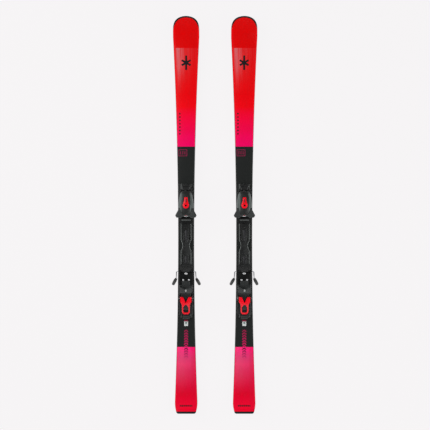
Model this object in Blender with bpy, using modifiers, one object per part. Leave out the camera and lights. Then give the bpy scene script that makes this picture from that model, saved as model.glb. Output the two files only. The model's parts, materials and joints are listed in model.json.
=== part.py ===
"""A pair of alpine carving skis with track-mounted bindings, ready to step into.

Each ski is built once in its own frame, in metres: +Y runs to the tip, +Z is up, the origin is in the middle
of the ski's length, on the running base under the boot. Then the ski is copied to the other side and both are
lifted until the brake feet stand on Z = 0. The brakes are down, the heels are open.
"""

import math

import bmesh
import bpy
from mathutils import Matrix, Vector

MM = 0.001
GAP = 0.3 * MM  # between pieces that touch

# ---- the pair
SPACING = 249 * MM  # centre line to centre line

# ---- the ski's outline, seen from above
TIP_Y = 850 * MM
TAIL_Y = -850 * MM
WAIST_Y = -107 * MM
WAIST_WIDTH = 69 * MM
SIDECUT_RADIUS = 17.4
SHOVEL_LENGTH = 85 * MM  # from the widest place to the tip
TAIL_LENGTH = 46 * MM  # from the widest place to the tail
TIP_POWER = 4.6
TIP_END_WIDTH = 4 * MM
TAIL_TAPER = 0.17
TAIL_CORNER = 5 * MM
TAIL_GUARD = 6 * MM

# ---- the ski's side view
TIP_CONTACT_Y = 712 * MM
TAIL_CONTACT_Y = -800 * MM
TIP_RISE = 45 * MM
TAIL_RISE = 8 * MM
CAMBER = 3 * MM
LEVEL_FRONT_Y = 150 * MM  # flat and of full thickness under the binding
LEVEL_REAR_Y = -455 * MM
THICK_MID = 15 * MM
THICK_TIP = 4.8 * MM
THICK_TAIL = 5.5 * MM

# ---- the ski's layers
BASE_THICK = 1.5 * MM
EDGE = 2 * MM
SHEET_THICK = 1.2 * MM
SHEET_TIP_INSET = 5.5 * MM
SIDEWALL_LEAN = 2 * MM
SIDEWALL_WIDTH = 5.2 * MM
CORE_FRONT_Y = 735 * MM
CORE_REAR_Y = -790 * MM

# ---- the binding: heights are above the ski's top, at the boot
TOP = THICK_MID
FLANGE_WIDTH = 54 * MM
RAIL_WIDTH = 44 * MM
WEB_WIDTH = 34 * MM
FLANGE_TOP = TOP + 3 * MM
WEB_TOP = TOP + 5.5 * MM
RAIL_TOP = TOP + 8.5 * MM
PLATE_LOW = RAIL_TOP + GAP
PLATE_TOP = TOP + 12.8 * MM
BOOT_Z = TOP + 20.5 * MM  # the boot sole's level

TRACK_JOIN_Y = -129 * MM
TOE_TRACK_FRONT = 134 * MM
HEEL_TRACK_REAR = -436 * MM

# ---- the toe piece
TOE_FRONT = 103 * MM
TOE_REAR = -34 * MM
WING_PIVOT = Vector((19 * MM, 16 * MM, 0))
WING_LOW = TOP + 25 * MM
WING_TOP = TOP + 46 * MM
BOOT_TOE_CENTRE_Y = -33 * MM
BOOT_TOE_RADIUS = 36.5 * MM
TOE_LIP_RADIUS = 31 * MM
TOE_LUG_TOP = BOOT_Z + 20.5 * MM
ROOF_Z = WING_TOP + 0.6 * MM
SCREW_Z = TOP + 27 * MM
WINDOW_Y = 42 * MM
TOE_LOCK_PIVOT = Vector((0, 108 * MM, TOP + 11.5 * MM))

# ---- the heel piece
AXLE = Vector((0, -353 * MM, TOP + 35 * MM))
AXLE_RADIUS = 3 * MM
HEEL_OPEN = math.radians(20)
HEEL_FRONT = -299 * MM
HEEL_REAR = -424 * MM
HEEL_SCREW_Z = TOP + 48 * MM
BOOT_HEEL_CENTRE_Y = -276 * MM
HEEL_LOCK_PIVOT = Vector((0, -429.5 * MM, TOP + 11.5 * MM))

# ---- the brake
BRAKE_AXIS = Vector((0, -240 * MM, TOP + 13 * MM))
BRAKE_DOWN = math.radians(50)
WIRE_RADIUS = 2.4 * MM
CRANK = 24 * MM
CRANK_X = 20 * MM
ARM_X = 41 * MM
ARM_LENGTH = 93 * MM
FOOT_START = 49 * MM
FOOT_FLARE = 15 * MM
PEDAL_TILT = math.radians(20)

ROUND = 20  # sides of a cylinder


# ------------------------------------------------------------------ materials


def material(name, colour, roughness, metallic=0.0):
    made = bpy.data.materials.new(name)
    made.use_nodes = True
    shader = made.node_tree.nodes["Principled BSDF"]
    shader.inputs["Base Color"].default_value = (*colour, 1.0)
    shader.inputs["Roughness"].default_value = roughness
    shader.inputs["Metallic"].default_value = metallic
    return made


def make_materials():
    return {
        "topsheet": material("topsheet", (0.74, 0.01, 0.02), 0.3),
        "black_base": material("black_base", (0.02, 0.02, 0.022), 0.5),
        "black_abs": material("black_abs", (0.025, 0.025, 0.027), 0.45),
        "edge_steel": material("edge_steel", (0.55, 0.55, 0.57), 0.3, 1.0),
        "wood": material("wood", (0.62, 0.45, 0.27), 0.7),
        "binding_black": material("binding_black", (0.03, 0.03, 0.032), 0.4),
        "binding_grey": material("binding_grey", (0.07, 0.07, 0.075), 0.5),
        "binding_red": material("binding_red", (0.8, 0.01, 0.02), 0.35),
        "bright_steel": material("bright_steel", (0.7, 0.7, 0.72), 0.25, 1.0),
        "foot_black": material("foot_black", (0.02, 0.02, 0.02), 0.6),
    }


# ------------------------------------------------------------------ shape tools


def object_of(name, mesh):
    made = bpy.data.objects.new(name, mesh)
    bpy.context.scene.collection.objects.link(made)
    return made


def mesh_from(name, build):
    """An object whose mesh is filled by build(bmesh), with its faces pointing out."""
    mesh = bpy.data.meshes.new(name)
    work = bmesh.new()
    build(work)
    bmesh.ops.recalc_face_normals(work, faces=work.faces)
    work.to_mesh(mesh)
    work.free()
    return object_of(name, mesh)


def box(name, low, high):
    size = Vector(high) - Vector(low)
    middle = (Vector(high) + Vector(low)) / 2
    matrix = Matrix.Translation(middle) @ Matrix.Diagonal((*size, 1))
    return mesh_from(name, lambda work: bmesh.ops.create_cube(work, size=1, matrix=matrix))


AXIS_TURN = {
    "X": Matrix.Rotation(math.radians(90), 4, "Y"),
    "Y": Matrix.Rotation(math.radians(-90), 4, "X"),
    "Z": Matrix.Identity(4),
}


def cylinder(name, centre, radius, length, axis, sides=ROUND, end_radius=None):
    """A cylinder or cone frustum about centre, along the X, Y or Z axis."""
    matrix = Matrix.Translation(Vector(centre)) @ AXIS_TURN[axis]

    def build(work):
        bmesh.ops.create_cone(
            work,
            cap_ends=True,
            segments=sides,
            radius1=radius,
            radius2=radius if end_radius is None else end_radius,
            depth=length,
            matrix=matrix,
        )

    return mesh_from(name, build)


def loft(name, sections):
    """Joins closed sections, each a list of as many points, and caps the first and the last."""

    def build(work):
        rings = [[work.verts.new(point) for point in section] for section in sections]
        count = len(rings[0])
        for here, there in zip(rings, rings[1:]):
            for i in range(count):
                j = (i + 1) % count
                work.faces.new((here[i], here[j], there[j], there[i]))
        work.faces.new(rings[0])
        work.faces.new(rings[-1])

    return mesh_from(name, build)


def rounded(corners, steps=2):
    """An outline from (u, v) or (u, v, radius) corners, with each radius as an arc."""
    points = []
    count = len(corners)
    for i, corner in enumerate(corners):
        here = Vector(corner[:2])
        radius = corner[2] if len(corner) > 2 else 0
        if not radius:
            points.append(here)
            continue
        back = (Vector(corners[i - 1][:2]) - here).normalized()
        ahead = (Vector(corners[(i + 1) % count][:2]) - here).normalized()
        half = back.angle(ahead) / 2
        reach = radius / math.tan(half)
        centre = here + (back + ahead).normalized() * (radius / math.sin(half))
        start = here + back * reach - centre
        turn = start.angle_signed(here + ahead * reach - centre)
        for k in range(steps + 1):
            part = -turn * k / steps
            c, s = math.cos(part), math.sin(part)
            points.append(centre + Vector((start.x * c - start.y * s, start.x * s + start.y * c)))
    return points


def arc(centre, radius, start, end, steps):
    """Points along an arc, from the start angle to the end angle in degrees."""
    found = []
    for k in range(steps + 1):
        angle = math.radians(start + (end - start) * k / steps)
        found.append((centre[0] + radius * math.cos(angle), centre[1] + radius * math.sin(angle)))
    return found


PLANES = {
    "X": Matrix(((0, 0, 1, 0), (1, 0, 0, 0), (0, 1, 0, 0), (0, 0, 0, 1))),
    "Y": Matrix(((1, 0, 0, 0), (0, 0, -1, 0), (0, 1, 0, 0), (0, 0, 0, 1))),
    "Z": Matrix.Identity(4),
}


def to_mesh(made):
    """Replaces a curve object by its evaluated mesh, with the caps welded and each made one face."""
    bpy.context.view_layer.update()
    graph = bpy.context.evaluated_depsgraph_get()
    mesh = bpy.data.meshes.new_from_object(made.evaluated_get(graph))
    work = bmesh.new()
    work.from_mesh(mesh)
    bmesh.ops.remove_doubles(work, verts=work.verts, dist=0.01 * MM)
    bmesh.ops.dissolve_limit(work, angle_limit=math.radians(0.5), verts=work.verts, edges=work.edges)
    work.to_mesh(mesh)
    work.free()
    name, matrix = made.name, made.matrix_world.copy()
    bpy.data.objects.remove(made)
    made = object_of(name, mesh)
    mesh.transform(matrix)
    return made


def prism(name, outline, low, high, axis="Z", holes=()):
    """A flat outline extruded along an axis from low to high. For Z the outline is (x, y), for X it is (y, z)
    and for Y it is (x, z)."""
    curve = bpy.data.curves.new(name, "CURVE")
    curve.dimensions = "2D"
    curve.fill_mode = "BOTH"
    curve.extrude = (high - low) / 2
    for loop in (outline, *holes):
        spline = curve.splines.new("POLY")
        spline.points.add(len(loop) - 1)
        for point, place in zip(spline.points, loop):
            point.co = (place[0], place[1], 0, 1)
        spline.use_cyclic_u = True
    made = object_of(name, curve)
    middle = (low + high) / 2
    along = -middle if axis == "Y" else middle
    made.matrix_world = PLANES[axis] @ Matrix.Translation((0, 0, along))
    return to_mesh(made)


def boolean(made, other, operation):
    """Cuts, joins or intersects made with other, and removes other."""
    modifier = made.modifiers.new("boolean", "BOOLEAN")
    modifier.operation = operation
    modifier.object = other
    bpy.context.view_layer.update()
    graph = bpy.context.evaluated_depsgraph_get()
    mesh = bpy.data.meshes.new_from_object(made.evaluated_get(graph))
    made.modifiers.clear()
    made.data = mesh
    bpy.data.objects.remove(other)
    return made


def cut(made, *cutters):
    for cutter in cutters:
        boolean(made, cutter, "DIFFERENCE")
    return made


def join(made, *others):
    for other in others:
        boolean(made, other, "UNION")
    return made


def chamfer(made, width, angle=40):
    """Applies a one-step bevel to the edges sharper than angle."""
    modifier = made.modifiers.new("chamfer", "BEVEL")
    modifier.width = width
    modifier.segments = 1
    modifier.limit_method = "ANGLE"
    modifier.angle_limit = math.radians(angle)
    bpy.context.view_layer.update()
    graph = bpy.context.evaluated_depsgraph_get()
    mesh = bpy.data.meshes.new_from_object(made.evaluated_get(graph))
    made.modifiers.clear()
    made.data = mesh
    return made


def wire(name, points, radius):
    """A round wire along a polyline, as a curve with filled caps."""
    curve = bpy.data.curves.new(name, "CURVE")
    curve.dimensions = "3D"
    curve.bevel_depth = radius
    curve.bevel_resolution = 1
    curve.use_fill_caps = True
    spline = curve.splines.new("POLY")
    spline.points.add(len(points) - 1)
    for point, place in zip(spline.points, points):
        point.co = (*place, 1)
    return object_of(name, curve)


def coil(name, start_y, end_y, z, radius, wire_radius, turns, per_turn=8):
    """A compression spring along Y, as a wire along a helix."""
    count = round(turns * per_turn)
    points = []
    for i in range(count + 1):
        angle = 2 * math.pi * i / per_turn
        y = start_y + (end_y - start_y) * i / count
        points.append(Vector((radius * math.cos(angle), y, z + radius * math.sin(angle))))
    return wire(name, points, wire_radius)


def fillet_path(corners, steps=3):
    """A path through corners, each (point, radius), with each radius as an arc in the corner's own plane."""
    path = [corners[0][0]]
    for (before, _), (here, radius), (after, _) in zip(corners, corners[1:], corners[2:]):
        back = (before - here).normalized()
        ahead = (after - here).normalized()
        half = back.angle(ahead) / 2
        start = here + back * (radius / math.tan(half))
        end = here + ahead * (radius / math.tan(half))
        centre = here + (back + ahead).normalized() * (radius / math.sin(half))
        a, b = start - centre, end - centre
        sweep = a.angle(b)
        for k in range(steps + 1):
            t = k / steps
            weight_a = math.sin((1 - t) * sweep) / math.sin(sweep)
            weight_b = math.sin(t * sweep) / math.sin(sweep)
            path.append(centre + a * weight_a + b * weight_b)
    path.append(corners[-1][0])
    return path


def turned(made, pivot, angle):
    """Turns the mesh about an axle along X, nose up for a positive angle."""
    about = Matrix.Translation(pivot) @ Matrix.Rotation(angle, 4, "X") @ Matrix.Translation(-pivot)
    made.data.transform(about)
    return made


# ------------------------------------------------------------------ the ski


def smooth(t):
    t = min(max(t, 0.0), 1.0)
    return t * t * (3 - 2 * t)


def sidecut(y):
    return WAIST_WIDTH / 2 + (y - WAIST_Y) ** 2 / (2 * SIDECUT_RADIUS)


def half_width(y, side=0.0, tip=0.0):
    """Half the ski's width at y, less a side inset; tip is the inset at the tip's end."""
    shovel_y = TIP_Y - SHOVEL_LENGTH
    tail_y = TAIL_Y + TAIL_LENGTH
    if y > shovel_y:
        along = min((y - shovel_y) / (SHOVEL_LENGTH - tip), 1.0)
        width = (sidecut(shovel_y) - side) * math.sqrt(1 - along**TIP_POWER)
        return max(width, TIP_END_WIDTH)
    width = sidecut(y) - side
    if y < tail_y:
        along = (tail_y - y) / TAIL_LENGTH
        width = (sidecut(tail_y) - side) * (1 - TAIL_TAPER * along**2)
        into = y - TAIL_Y
        if into < TAIL_CORNER:
            width -= TAIL_CORNER - math.sqrt(TAIL_CORNER**2 - (TAIL_CORNER - into) ** 2)
    return width


def base_height(y):
    """The running base's height: level under the boot, down to the contact points, up at the tip and tail."""
    if y >= TIP_CONTACT_Y:
        return TIP_RISE * ((y - TIP_CONTACT_Y) / (TIP_Y - TIP_CONTACT_Y)) ** 2 - CAMBER
    if y <= TAIL_CONTACT_Y:
        return TAIL_RISE * ((TAIL_CONTACT_Y - y) / (TAIL_CONTACT_Y - TAIL_Y)) ** 2 - CAMBER
    if y > LEVEL_FRONT_Y:
        return -CAMBER * smooth((y - LEVEL_FRONT_Y) / (TIP_CONTACT_Y - LEVEL_FRONT_Y))
    return -CAMBER * smooth((LEVEL_REAR_Y - y) / (LEVEL_REAR_Y - TAIL_CONTACT_Y))


def thickness(y):
    if y > LEVEL_FRONT_Y:
        share = smooth((y - LEVEL_FRONT_Y) / (TIP_Y - 70 * MM - LEVEL_FRONT_Y))
        return THICK_MID + (THICK_TIP - THICK_MID) * share
    share = smooth((LEVEL_REAR_Y - y) / (LEVEL_REAR_Y - TAIL_Y - 30 * MM))
    return THICK_MID + (THICK_TAIL - THICK_MID) * share


def spread(start, end, count):
    return [start + (end - start) * i / count for i in range(count)]


def stations(start, end, tip=0.0):
    """The places along the ski where a layer between start and end has a section."""
    shovel_y = TIP_Y - SHOVEL_LENGTH
    places = [TAIL_Y, TAIL_Y + 0.6 * MM, TAIL_Y + 2.2 * MM, TAIL_Y + 5 * MM]
    places += spread(TAIL_Y + 14 * MM, TAIL_CONTACT_Y, 2)
    places += spread(TAIL_CONTACT_Y, LEVEL_REAR_Y, 4)
    places += spread(LEVEL_REAR_Y, LEVEL_FRONT_Y, 3)
    places += spread(LEVEL_FRONT_Y, TIP_CONTACT_Y, 6)
    places += [TIP_CONTACT_Y, TIP_CONTACT_Y + 28 * MM]
    tip_length = SHOVEL_LENGTH - tip
    places += [shovel_y + tip_length * u for u in (0, 0.3, 0.5, 0.66, 0.79, 0.88, 0.94, 0.98, 1)]
    inside = [y for y in places if start + 1 * MM < y < end - 1 * MM]
    return [start, *inside, end]


def layer(name, start, end, low, high, side_low=0.0, side_high=0.0, tip=0.0):
    """One layer of the ski. low and high give its heights above the base at y, side_low and side_high its
    insets there, as numbers or functions of y."""

    def at(value, y):
        return value(y) if callable(value) else value

    sections = []
    for y in stations(start, end, tip):
        z = base_height(y)
        wide = half_width(y, at(side_low, y), tip)
        narrow = half_width(y, at(side_high, y), tip)
        bottom, top = z + at(low, y), z + at(high, y)
        sections.append(((-wide, y, bottom), (wide, y, bottom), (narrow, y, top), (-narrow, y, top)))
    return loft(name, sections)


def lean(y):
    """How far the sidewall leans in by its top."""
    return SIDEWALL_LEAN * thickness(y) / THICK_MID


def under_sheet(y):
    return thickness(y) - SHEET_THICK - GAP


def ski_pieces():
    tail = TAIL_Y + TAIL_GUARD + GAP
    wall_low = EDGE + GAP
    above_base = BASE_THICK + GAP
    edge_inset = EDGE + GAP
    running_base = layer(
        "running_base", tail, TIP_Y - edge_inset, 0, BASE_THICK, edge_inset, edge_inset, edge_inset
    )
    steel_edge = layer("steel_edge", tail, TIP_Y, 0, EDGE)
    edge_cutter = layer("edge_cutter", TAIL_Y, TIP_Y - EDGE, -EDGE, 2 * EDGE, EDGE, EDGE, EDGE)
    cut(steel_edge, edge_cutter)
    sidewall = layer("sidewall", tail, TIP_Y, wall_low, under_sheet, 0.1 * MM, lean)
    slot = layer(
        "slot", CORE_REAR_Y - GAP, CORE_FRONT_Y + GAP, -EDGE, THICK_MID, SIDEWALL_WIDTH, SIDEWALL_WIDTH
    )
    cut(sidewall, slot)
    core_side = SIDEWALL_WIDTH + GAP
    wood_core = layer(
        "wood_core", CORE_REAR_Y, CORE_FRONT_Y, above_base, under_sheet, core_side, core_side
    )
    topsheet = layer(
        "topsheet",
        tail,
        TIP_Y - SHEET_TIP_INSET,
        lambda y: thickness(y) - SHEET_THICK,
        thickness,
        lean,
        lambda y: lean(y) + 0.5 * MM,
        SHEET_TIP_INSET,
    )
    tail_guard = layer(
        "tail_guard", TAIL_Y, TAIL_Y + TAIL_GUARD, 0, thickness, 0, lambda y: 0.8 * MM
    )
    return {
        running_base: "black_base",
        steel_edge: "edge_steel",
        sidewall: "black_abs",
        wood_core: "wood",
        topsheet: "topsheet",
        tail_guard: "black_abs",
    }


# ------------------------------------------------------------------ the tracks and carriages


def mirrored(points):
    """A closed outline symmetric about x = 0, from its right-hand points, lowest first."""
    return list(points) + [(-x, z) for x, z in reversed(points)]


def track(name, rear, front):
    """The rail screwed to the ski: a wide foot, a narrow web, and a top flange that the carriages grip."""
    foot, rail, web = FLANGE_WIDTH / 2, RAIL_WIDTH / 2, WEB_WIDTH / 2
    right = [
        (foot, TOP + GAP),
        (foot, FLANGE_TOP),
        (web, FLANGE_TOP + 0.2 * MM),
        (web, WEB_TOP - 0.2 * MM),
        (rail, WEB_TOP),
        (rail, RAIL_TOP),
    ]
    return prism(name, mirrored(right), rear, front, "Y")


def waist_cutters():
    """Two upright cylinders that narrow the tracks where they meet, into an hourglass."""
    radius = 40 * MM
    reach = 15.5 * MM + radius
    for x in (-reach, reach):
        yield cylinder("waist_cutter", (x, TRACK_JOIN_Y, TOP + 10 * MM), radius, 30 * MM, "Z", 40)


def groove_cutter(rear, front, round_front):
    """The shallow groove of the connecting band, with one round end."""
    half = 8.5 * MM
    if round_front:
        outline = [(-half, rear), (half, rear)] + arc((0, front - half), half, 0, 180, 8)
    else:
        outline = [(half, front), (-half, front)] + arc((0, rear + half), half, 180, 360, 8)
    return prism("groove_cutter", outline, RAIL_TOP - 2 * MM, RAIL_TOP + 5 * MM)


def pocket_cutters(y):
    """A pair of pockets beside the groove."""
    for x in (-15.5 * MM, 15.5 * MM):
        outline = rounded(
            [
                (x - 4 * MM, y - 13 * MM, 3 * MM),
                (x + 4 * MM, y - 13 * MM, 3 * MM),
                (x + 4 * MM, y + 13 * MM, 3 * MM),
                (x - 4 * MM, y + 13 * MM, 3 * MM),
            ],
            2,
        )
        yield prism("pocket_cutter", outline, RAIL_TOP - 4 * MM, RAIL_TOP + 5 * MM)


def tracks():
    toe_track = track("toe_track", TRACK_JOIN_Y + 1 * MM, TOE_TRACK_FRONT)
    cut(
        toe_track,
        *waist_cutters(),
        groove_cutter(-113 * MM, -52 * MM, False),
        *pocket_cutters(-92 * MM),
    )
    heel_track = track("heel_track", HEEL_TRACK_REAR, TRACK_JOIN_Y - 1 * MM)
    cut(
        heel_track,
        *waist_cutters(),
        groove_cutter(-222 * MM, -163 * MM, True),
        *pocket_cutters(-182 * MM),
    )
    return {toe_track: "binding_black", heel_track: "binding_black"}


def carriage(name, rear, front, top=PLATE_TOP):
    """A plate with claws that hook under the track's top flange."""
    clear = 0.3 * MM
    outer, inner, lip = 29 * MM, RAIL_WIDTH / 2 + clear, WEB_WIDTH / 2 + clear
    low = FLANGE_TOP + clear
    right = [
        (inner, PLATE_LOW),
        (inner, WEB_TOP - clear),
        (lip, WEB_TOP - clear - 0.2 * MM),
        (lip, low + 0.2 * MM),
        (outer, low),
        (outer, top - 1.5 * MM),
        (outer - 1.2 * MM, top),
    ]
    return prism(name, mirrored(right), rear, front, "Y")


def lock_lever(name, pivot, reach, half, forward):
    """The latch that frees a carriage: a barrel on two pins, and a finger tab along the track."""
    barrel = cylinder(name, pivot, 2.5 * MM, 2 * half, "X", 14)
    pins = cylinder("pins", pivot, 1.7 * MM, 2 * half + 8 * MM, "X", 12)
    profile = [
        (0, -2.1 * MM),
        (reach, -2.1 * MM),
        (reach, 2.5 * MM, 1.2 * MM),
        (reach - 2 * MM, 4 * MM),
        (reach - 5.5 * MM, 4 * MM),
        (reach - 7 * MM, 1.2 * MM),
        (0, 1.2 * MM),
    ]
    outline = [(pivot.y + forward * p.x, pivot.z + p.y) for p in rounded(profile)]
    tab = chamfer(prism("tab", outline, 0.2 * MM - half, half - 0.2 * MM, "X"), 0.7 * MM, 50)
    return join(barrel, tab, pins)


def lock_lugs(pivot, half, start, end):
    """The two ears at a carriage's end that hold a lock lever's pins."""
    for side in (-1, 1):
        near, far = sorted((side * (half + 0.6 * MM), side * (half + 5.6 * MM)))
        lug = box("lug", (near, start, PLATE_LOW), (far, end, pivot.z + 3.2 * MM))
        hole = cylinder("hole", (side * half, pivot.y, pivot.z), 2 * MM, 20 * MM, "X", 12)
        yield cut(lug, hole)


# ------------------------------------------------------------------ the toe piece

TOE_LOCK_HALF = 20 * MM
# where the housing has a section: y, half width, height above the ski
TOE_SHAPE = (
    (103 * MM, 17 * MM, 36 * MM),
    (99 * MM, 21.5 * MM, 41 * MM),
    (88 * MM, 26 * MM, 46 * MM),
    (70 * MM, 29.5 * MM, 50 * MM),
    (50 * MM, 32 * MM, 52.5 * MM),
    (34 * MM, 32 * MM, 53 * MM),
    (24 * MM, 29.5 * MM, 53 * MM),
    (14 * MM, 26.5 * MM, 52 * MM),
    (4 * MM, 24 * MM, 50 * MM),
    (0.5 * MM, 22 * MM, 48.5 * MM),
)


def toe_form(name, rise=0.0, wider=0.0):
    """The toe housing's outer form, a loft of arched sections, raised or lowered by rise."""
    sections = []
    low = PLATE_TOP + GAP
    for y, half, height in TOE_SHAPE:
        top = TOP + height + rise
        points = [(-half - wider, y, low), (half + wider, y, low)]
        for angle in range(0, 181, 18):
            c, s = math.cos(math.radians(angle)), math.sin(math.radians(angle))
            x = (half + wider) * math.copysign(abs(c) ** 0.6, c)
            points.append((x, y, low + 9 * MM + (top - low - 9 * MM) * abs(s) ** 0.72))
        sections.append(points)
    return loft(name, sections)


def keyhole(name, inset):
    """The red insert's outline: a narrow neck in front and a round end behind, as an upright prism."""
    neck = 7 * MM - inset
    end = 13.9 * MM - inset
    centre_y = WINDOW_Y + 1 * MM
    outline = [(neck, 77 * MM - inset), (-neck, 77 * MM - inset), (-neck - 1 * MM, 63 * MM)]
    outline += arc((0, centre_y), end, 150, 390, 12)
    outline += [(neck + 1 * MM, 63 * MM)]
    return prism(name, outline, TOP + 20 * MM, TOP + 70 * MM)


def lobe_grooves():
    """The two shallow grooves that part the housing's middle from its side lobes."""
    line = ((15 * MM, 95 * MM), (18.5 * MM, 74 * MM), (20 * MM, 52 * MM), (18 * MM, 33 * MM))
    for side in (-1, 1):
        outline = [(side * (x + 1.1 * MM), y) for x, y in line]
        outline += [(side * (x - 1.1 * MM), y) for x, y in reversed(line)]
        groove = prism("groove", outline, TOP + 20 * MM, TOP + 70 * MM)
        yield cut(groove, toe_form("floor", -2.2 * MM, 20 * MM))


def toe_housing():
    housing = toe_form("toe_housing")
    recess = cut(keyhole("recess", 0), toe_form("floor", -3 * MM, 20 * MM))
    cut(housing, *lobe_grooves())
    rear = box("rear", (-50 * MM, -8 * MM, TOP), (50 * MM, 31 * MM, ROOF_Z))
    bore = cylinder("bore", (0, 61.5 * MM, SCREW_Z), 9.4 * MM, 57 * MM, "Y", 16)
    slot = box("slot", (-3.6 * MM, 34 * MM, SCREW_Z), (3.6 * MM, 78 * MM, TOP + 41.5 * MM))
    mouth = cylinder("mouth", (0, 102 * MM, SCREW_Z), 7 * MM, 11 * MM, "Y", 16)
    throat = cylinder("throat", (0, 93 * MM, SCREW_Z), 4 * MM, 14 * MM, "Y", 12)
    window = cylinder("window", (0, WINDOW_Y, TOP + 47 * MM), 4.4 * MM, 30 * MM, "Z", 16)
    return cut(housing, recess, rear, bore, slot, mouth, throat, window)


def toe_insert():
    """The keyhole insert: its top follows the housing's, 0.6 mm proud."""
    insert = keyhole("toe_insert", GAP)
    boolean(insert, toe_form("proud", 0.6 * MM, 20 * MM), "INTERSECT")
    cut(insert, toe_form("under", -3 * MM + GAP, 25 * MM))
    window = cylinder("window", (0, WINDOW_Y, TOP + 47 * MM), 4.4 * MM, 30 * MM, "Z", 16)
    return cut(insert, window)


def wing_outline():
    """The right-hand wing from above. Its inner side is the arc of the lip over the boot's toe."""
    outline = rounded(
        [
            (4.5 * MM, 25 * MM),
            (22 * MM, 28.5 * MM, 4 * MM),
            (34 * MM, 22 * MM, 6 * MM),
            (45.5 * MM, 0, 3 * MM),
            (41 * MM, -9 * MM, 3 * MM),
            (24 * MM, -11 * MM),
        ]
    )
    return outline + arc((0, BOOT_TOE_CENTRE_Y), TOE_LIP_RADIUS, 47, 82, 5)


def toe_wing(name, side):
    outline = wing_outline()
    if side < 0:
        outline = [(-x, y) for x, y in reversed(outline)]
    wing = prism(name, outline, WING_LOW, WING_TOP)
    chamfer(wing, 1.2 * MM, 60)
    boot = cylinder(
        "boot",
        (0, BOOT_TOE_CENTRE_Y, (WING_LOW + TOE_LUG_TOP) / 2 - 5 * MM),
        BOOT_TOE_RADIUS,
        TOE_LUG_TOP - WING_LOW + 10 * MM,
        "Z",
        56,
    )
    post = (side * WING_PIVOT.x, WING_PIVOT.y, WING_LOW)
    bore = cylinder("bore", post, 3.5 * MM, 60 * MM, "Z", 14)
    return cut(wing, boot, bore)


def toe_carriage():
    made = carriage("toe_carriage", TOE_REAR, TOE_FRONT)
    for side in (-1, 1):
        centre = (side * WING_PIVOT.x, WING_PIVOT.y, TOP + 27.5 * MM)
        join(made, cylinder("post", centre, 3.2 * MM, 32 * MM, "Z", 14))
        shoulder = (side * WING_PIVOT.x, WING_PIVOT.y, TOP + 18 * MM)
        join(made, cylinder("shoulder", shoulder, 7 * MM, 13 * MM, "Z", 14))
    rail = box("rail", (-20 * MM, -27 * MM, PLATE_TOP - 1 * MM), (20 * MM, -14 * MM, TOP + 16 * MM))
    pad = box("pad", (-14 * MM, -4.5 * MM, PLATE_TOP - 1 * MM), (14 * MM, 6 * MM, BOOT_Z - GAP))
    lugs = lock_lugs(TOE_LOCK_PIVOT, TOE_LOCK_HALF, TOE_FRONT - 2 * MM, 113 * MM)
    return join(made, rail, pad, *lugs)


def toe_afd():
    """The anti-friction plate under the boot's toe: it slides across on the carriage's rail."""
    low, high = PLATE_TOP + GAP, BOOT_Z
    outline = [
        (-34.5 * MM, low),
        (-27.5 * MM, low),
        (-27.5 * MM, TOP + 16.4 * MM),
        (-13.5 * MM, TOP + 16.4 * MM),
        (-13.5 * MM, low),
        (-6 * MM, low),
        (-6 * MM, high - 1.5 * MM),
        (-7.5 * MM, high),
        (-32 * MM, high),
        (-34.5 * MM, high - 3 * MM),
    ]
    return prism("toe_afd", outline, -29 * MM, 29 * MM, "X")


def toe_screw():
    head = cylinder("toe_din_screw", (0, 100.7 * MM, SCREW_Z), 6.4 * MM, 7.4 * MM, "Y", 16)
    shank = cylinder("shank", (0, 80 * MM, SCREW_Z), 3.4 * MM, 38 * MM, "Y", 12)
    join(head, shank)
    slot = box(
        "slot", (-5 * MM, 102.4 * MM, SCREW_Z - 0.9 * MM), (5 * MM, 110 * MM, SCREW_Z + 0.9 * MM)
    )
    return cut(head, slot)


def toe_nut():
    """The nut on the setting screw. It presses the spring and carries the pointer under the window."""
    nut = cylinder("toe_tension_nut", (0, 69.5 * MM, SCREW_Z), 8.8 * MM, 5 * MM, "Y", 16)
    arm = box("arm", (-3 * MM, 69 * MM, SCREW_Z + 5 * MM), (3 * MM, 71.5 * MM, TOP + 41 * MM))
    pointer = box("pointer", (-3 * MM, 39 * MM, TOP + 37.8 * MM), (3 * MM, 71.5 * MM, TOP + 41 * MM))
    bore = cylinder("bore", (0, 69.5 * MM, SCREW_Z), 3.7 * MM, 12 * MM, "Y", 12)
    join(arm, pointer)
    return cut(join(nut, arm), bore)


def toe_pieces():
    lock = lock_lever("toe_lock_lever", TOE_LOCK_PIVOT, 23 * MM, TOE_LOCK_HALF, 1)
    grips = [
        box("notch", (x - 1.6 * MM, 124 * MM, TOP + 13 * MM), (x + 1.6 * MM, 140 * MM, TOP + 20 * MM))
        for x in (-11 * MM, 0, 11 * MM)
    ]
    cut(lock, *grips)
    spring = coil("toe_spring", 65.4 * MM, 34.6 * MM, SCREW_Z, 6.2 * MM, 1.2 * MM, 5)
    return {
        toe_carriage(): "binding_grey",
        lock: "binding_black",
        toe_housing(): "binding_black",
        toe_insert(): "binding_red",
        toe_wing("toe_wing_left", -1): "binding_grey",
        toe_wing("toe_wing_right", 1): "binding_grey",
        toe_afd(): "binding_black",
        spring: "bright_steel",
        toe_nut(): "bright_steel",
        toe_screw(): "bright_steel",
    }


# ------------------------------------------------------------------ the heel piece

HEEL_LOCK_HALF = 15 * MM


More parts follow.
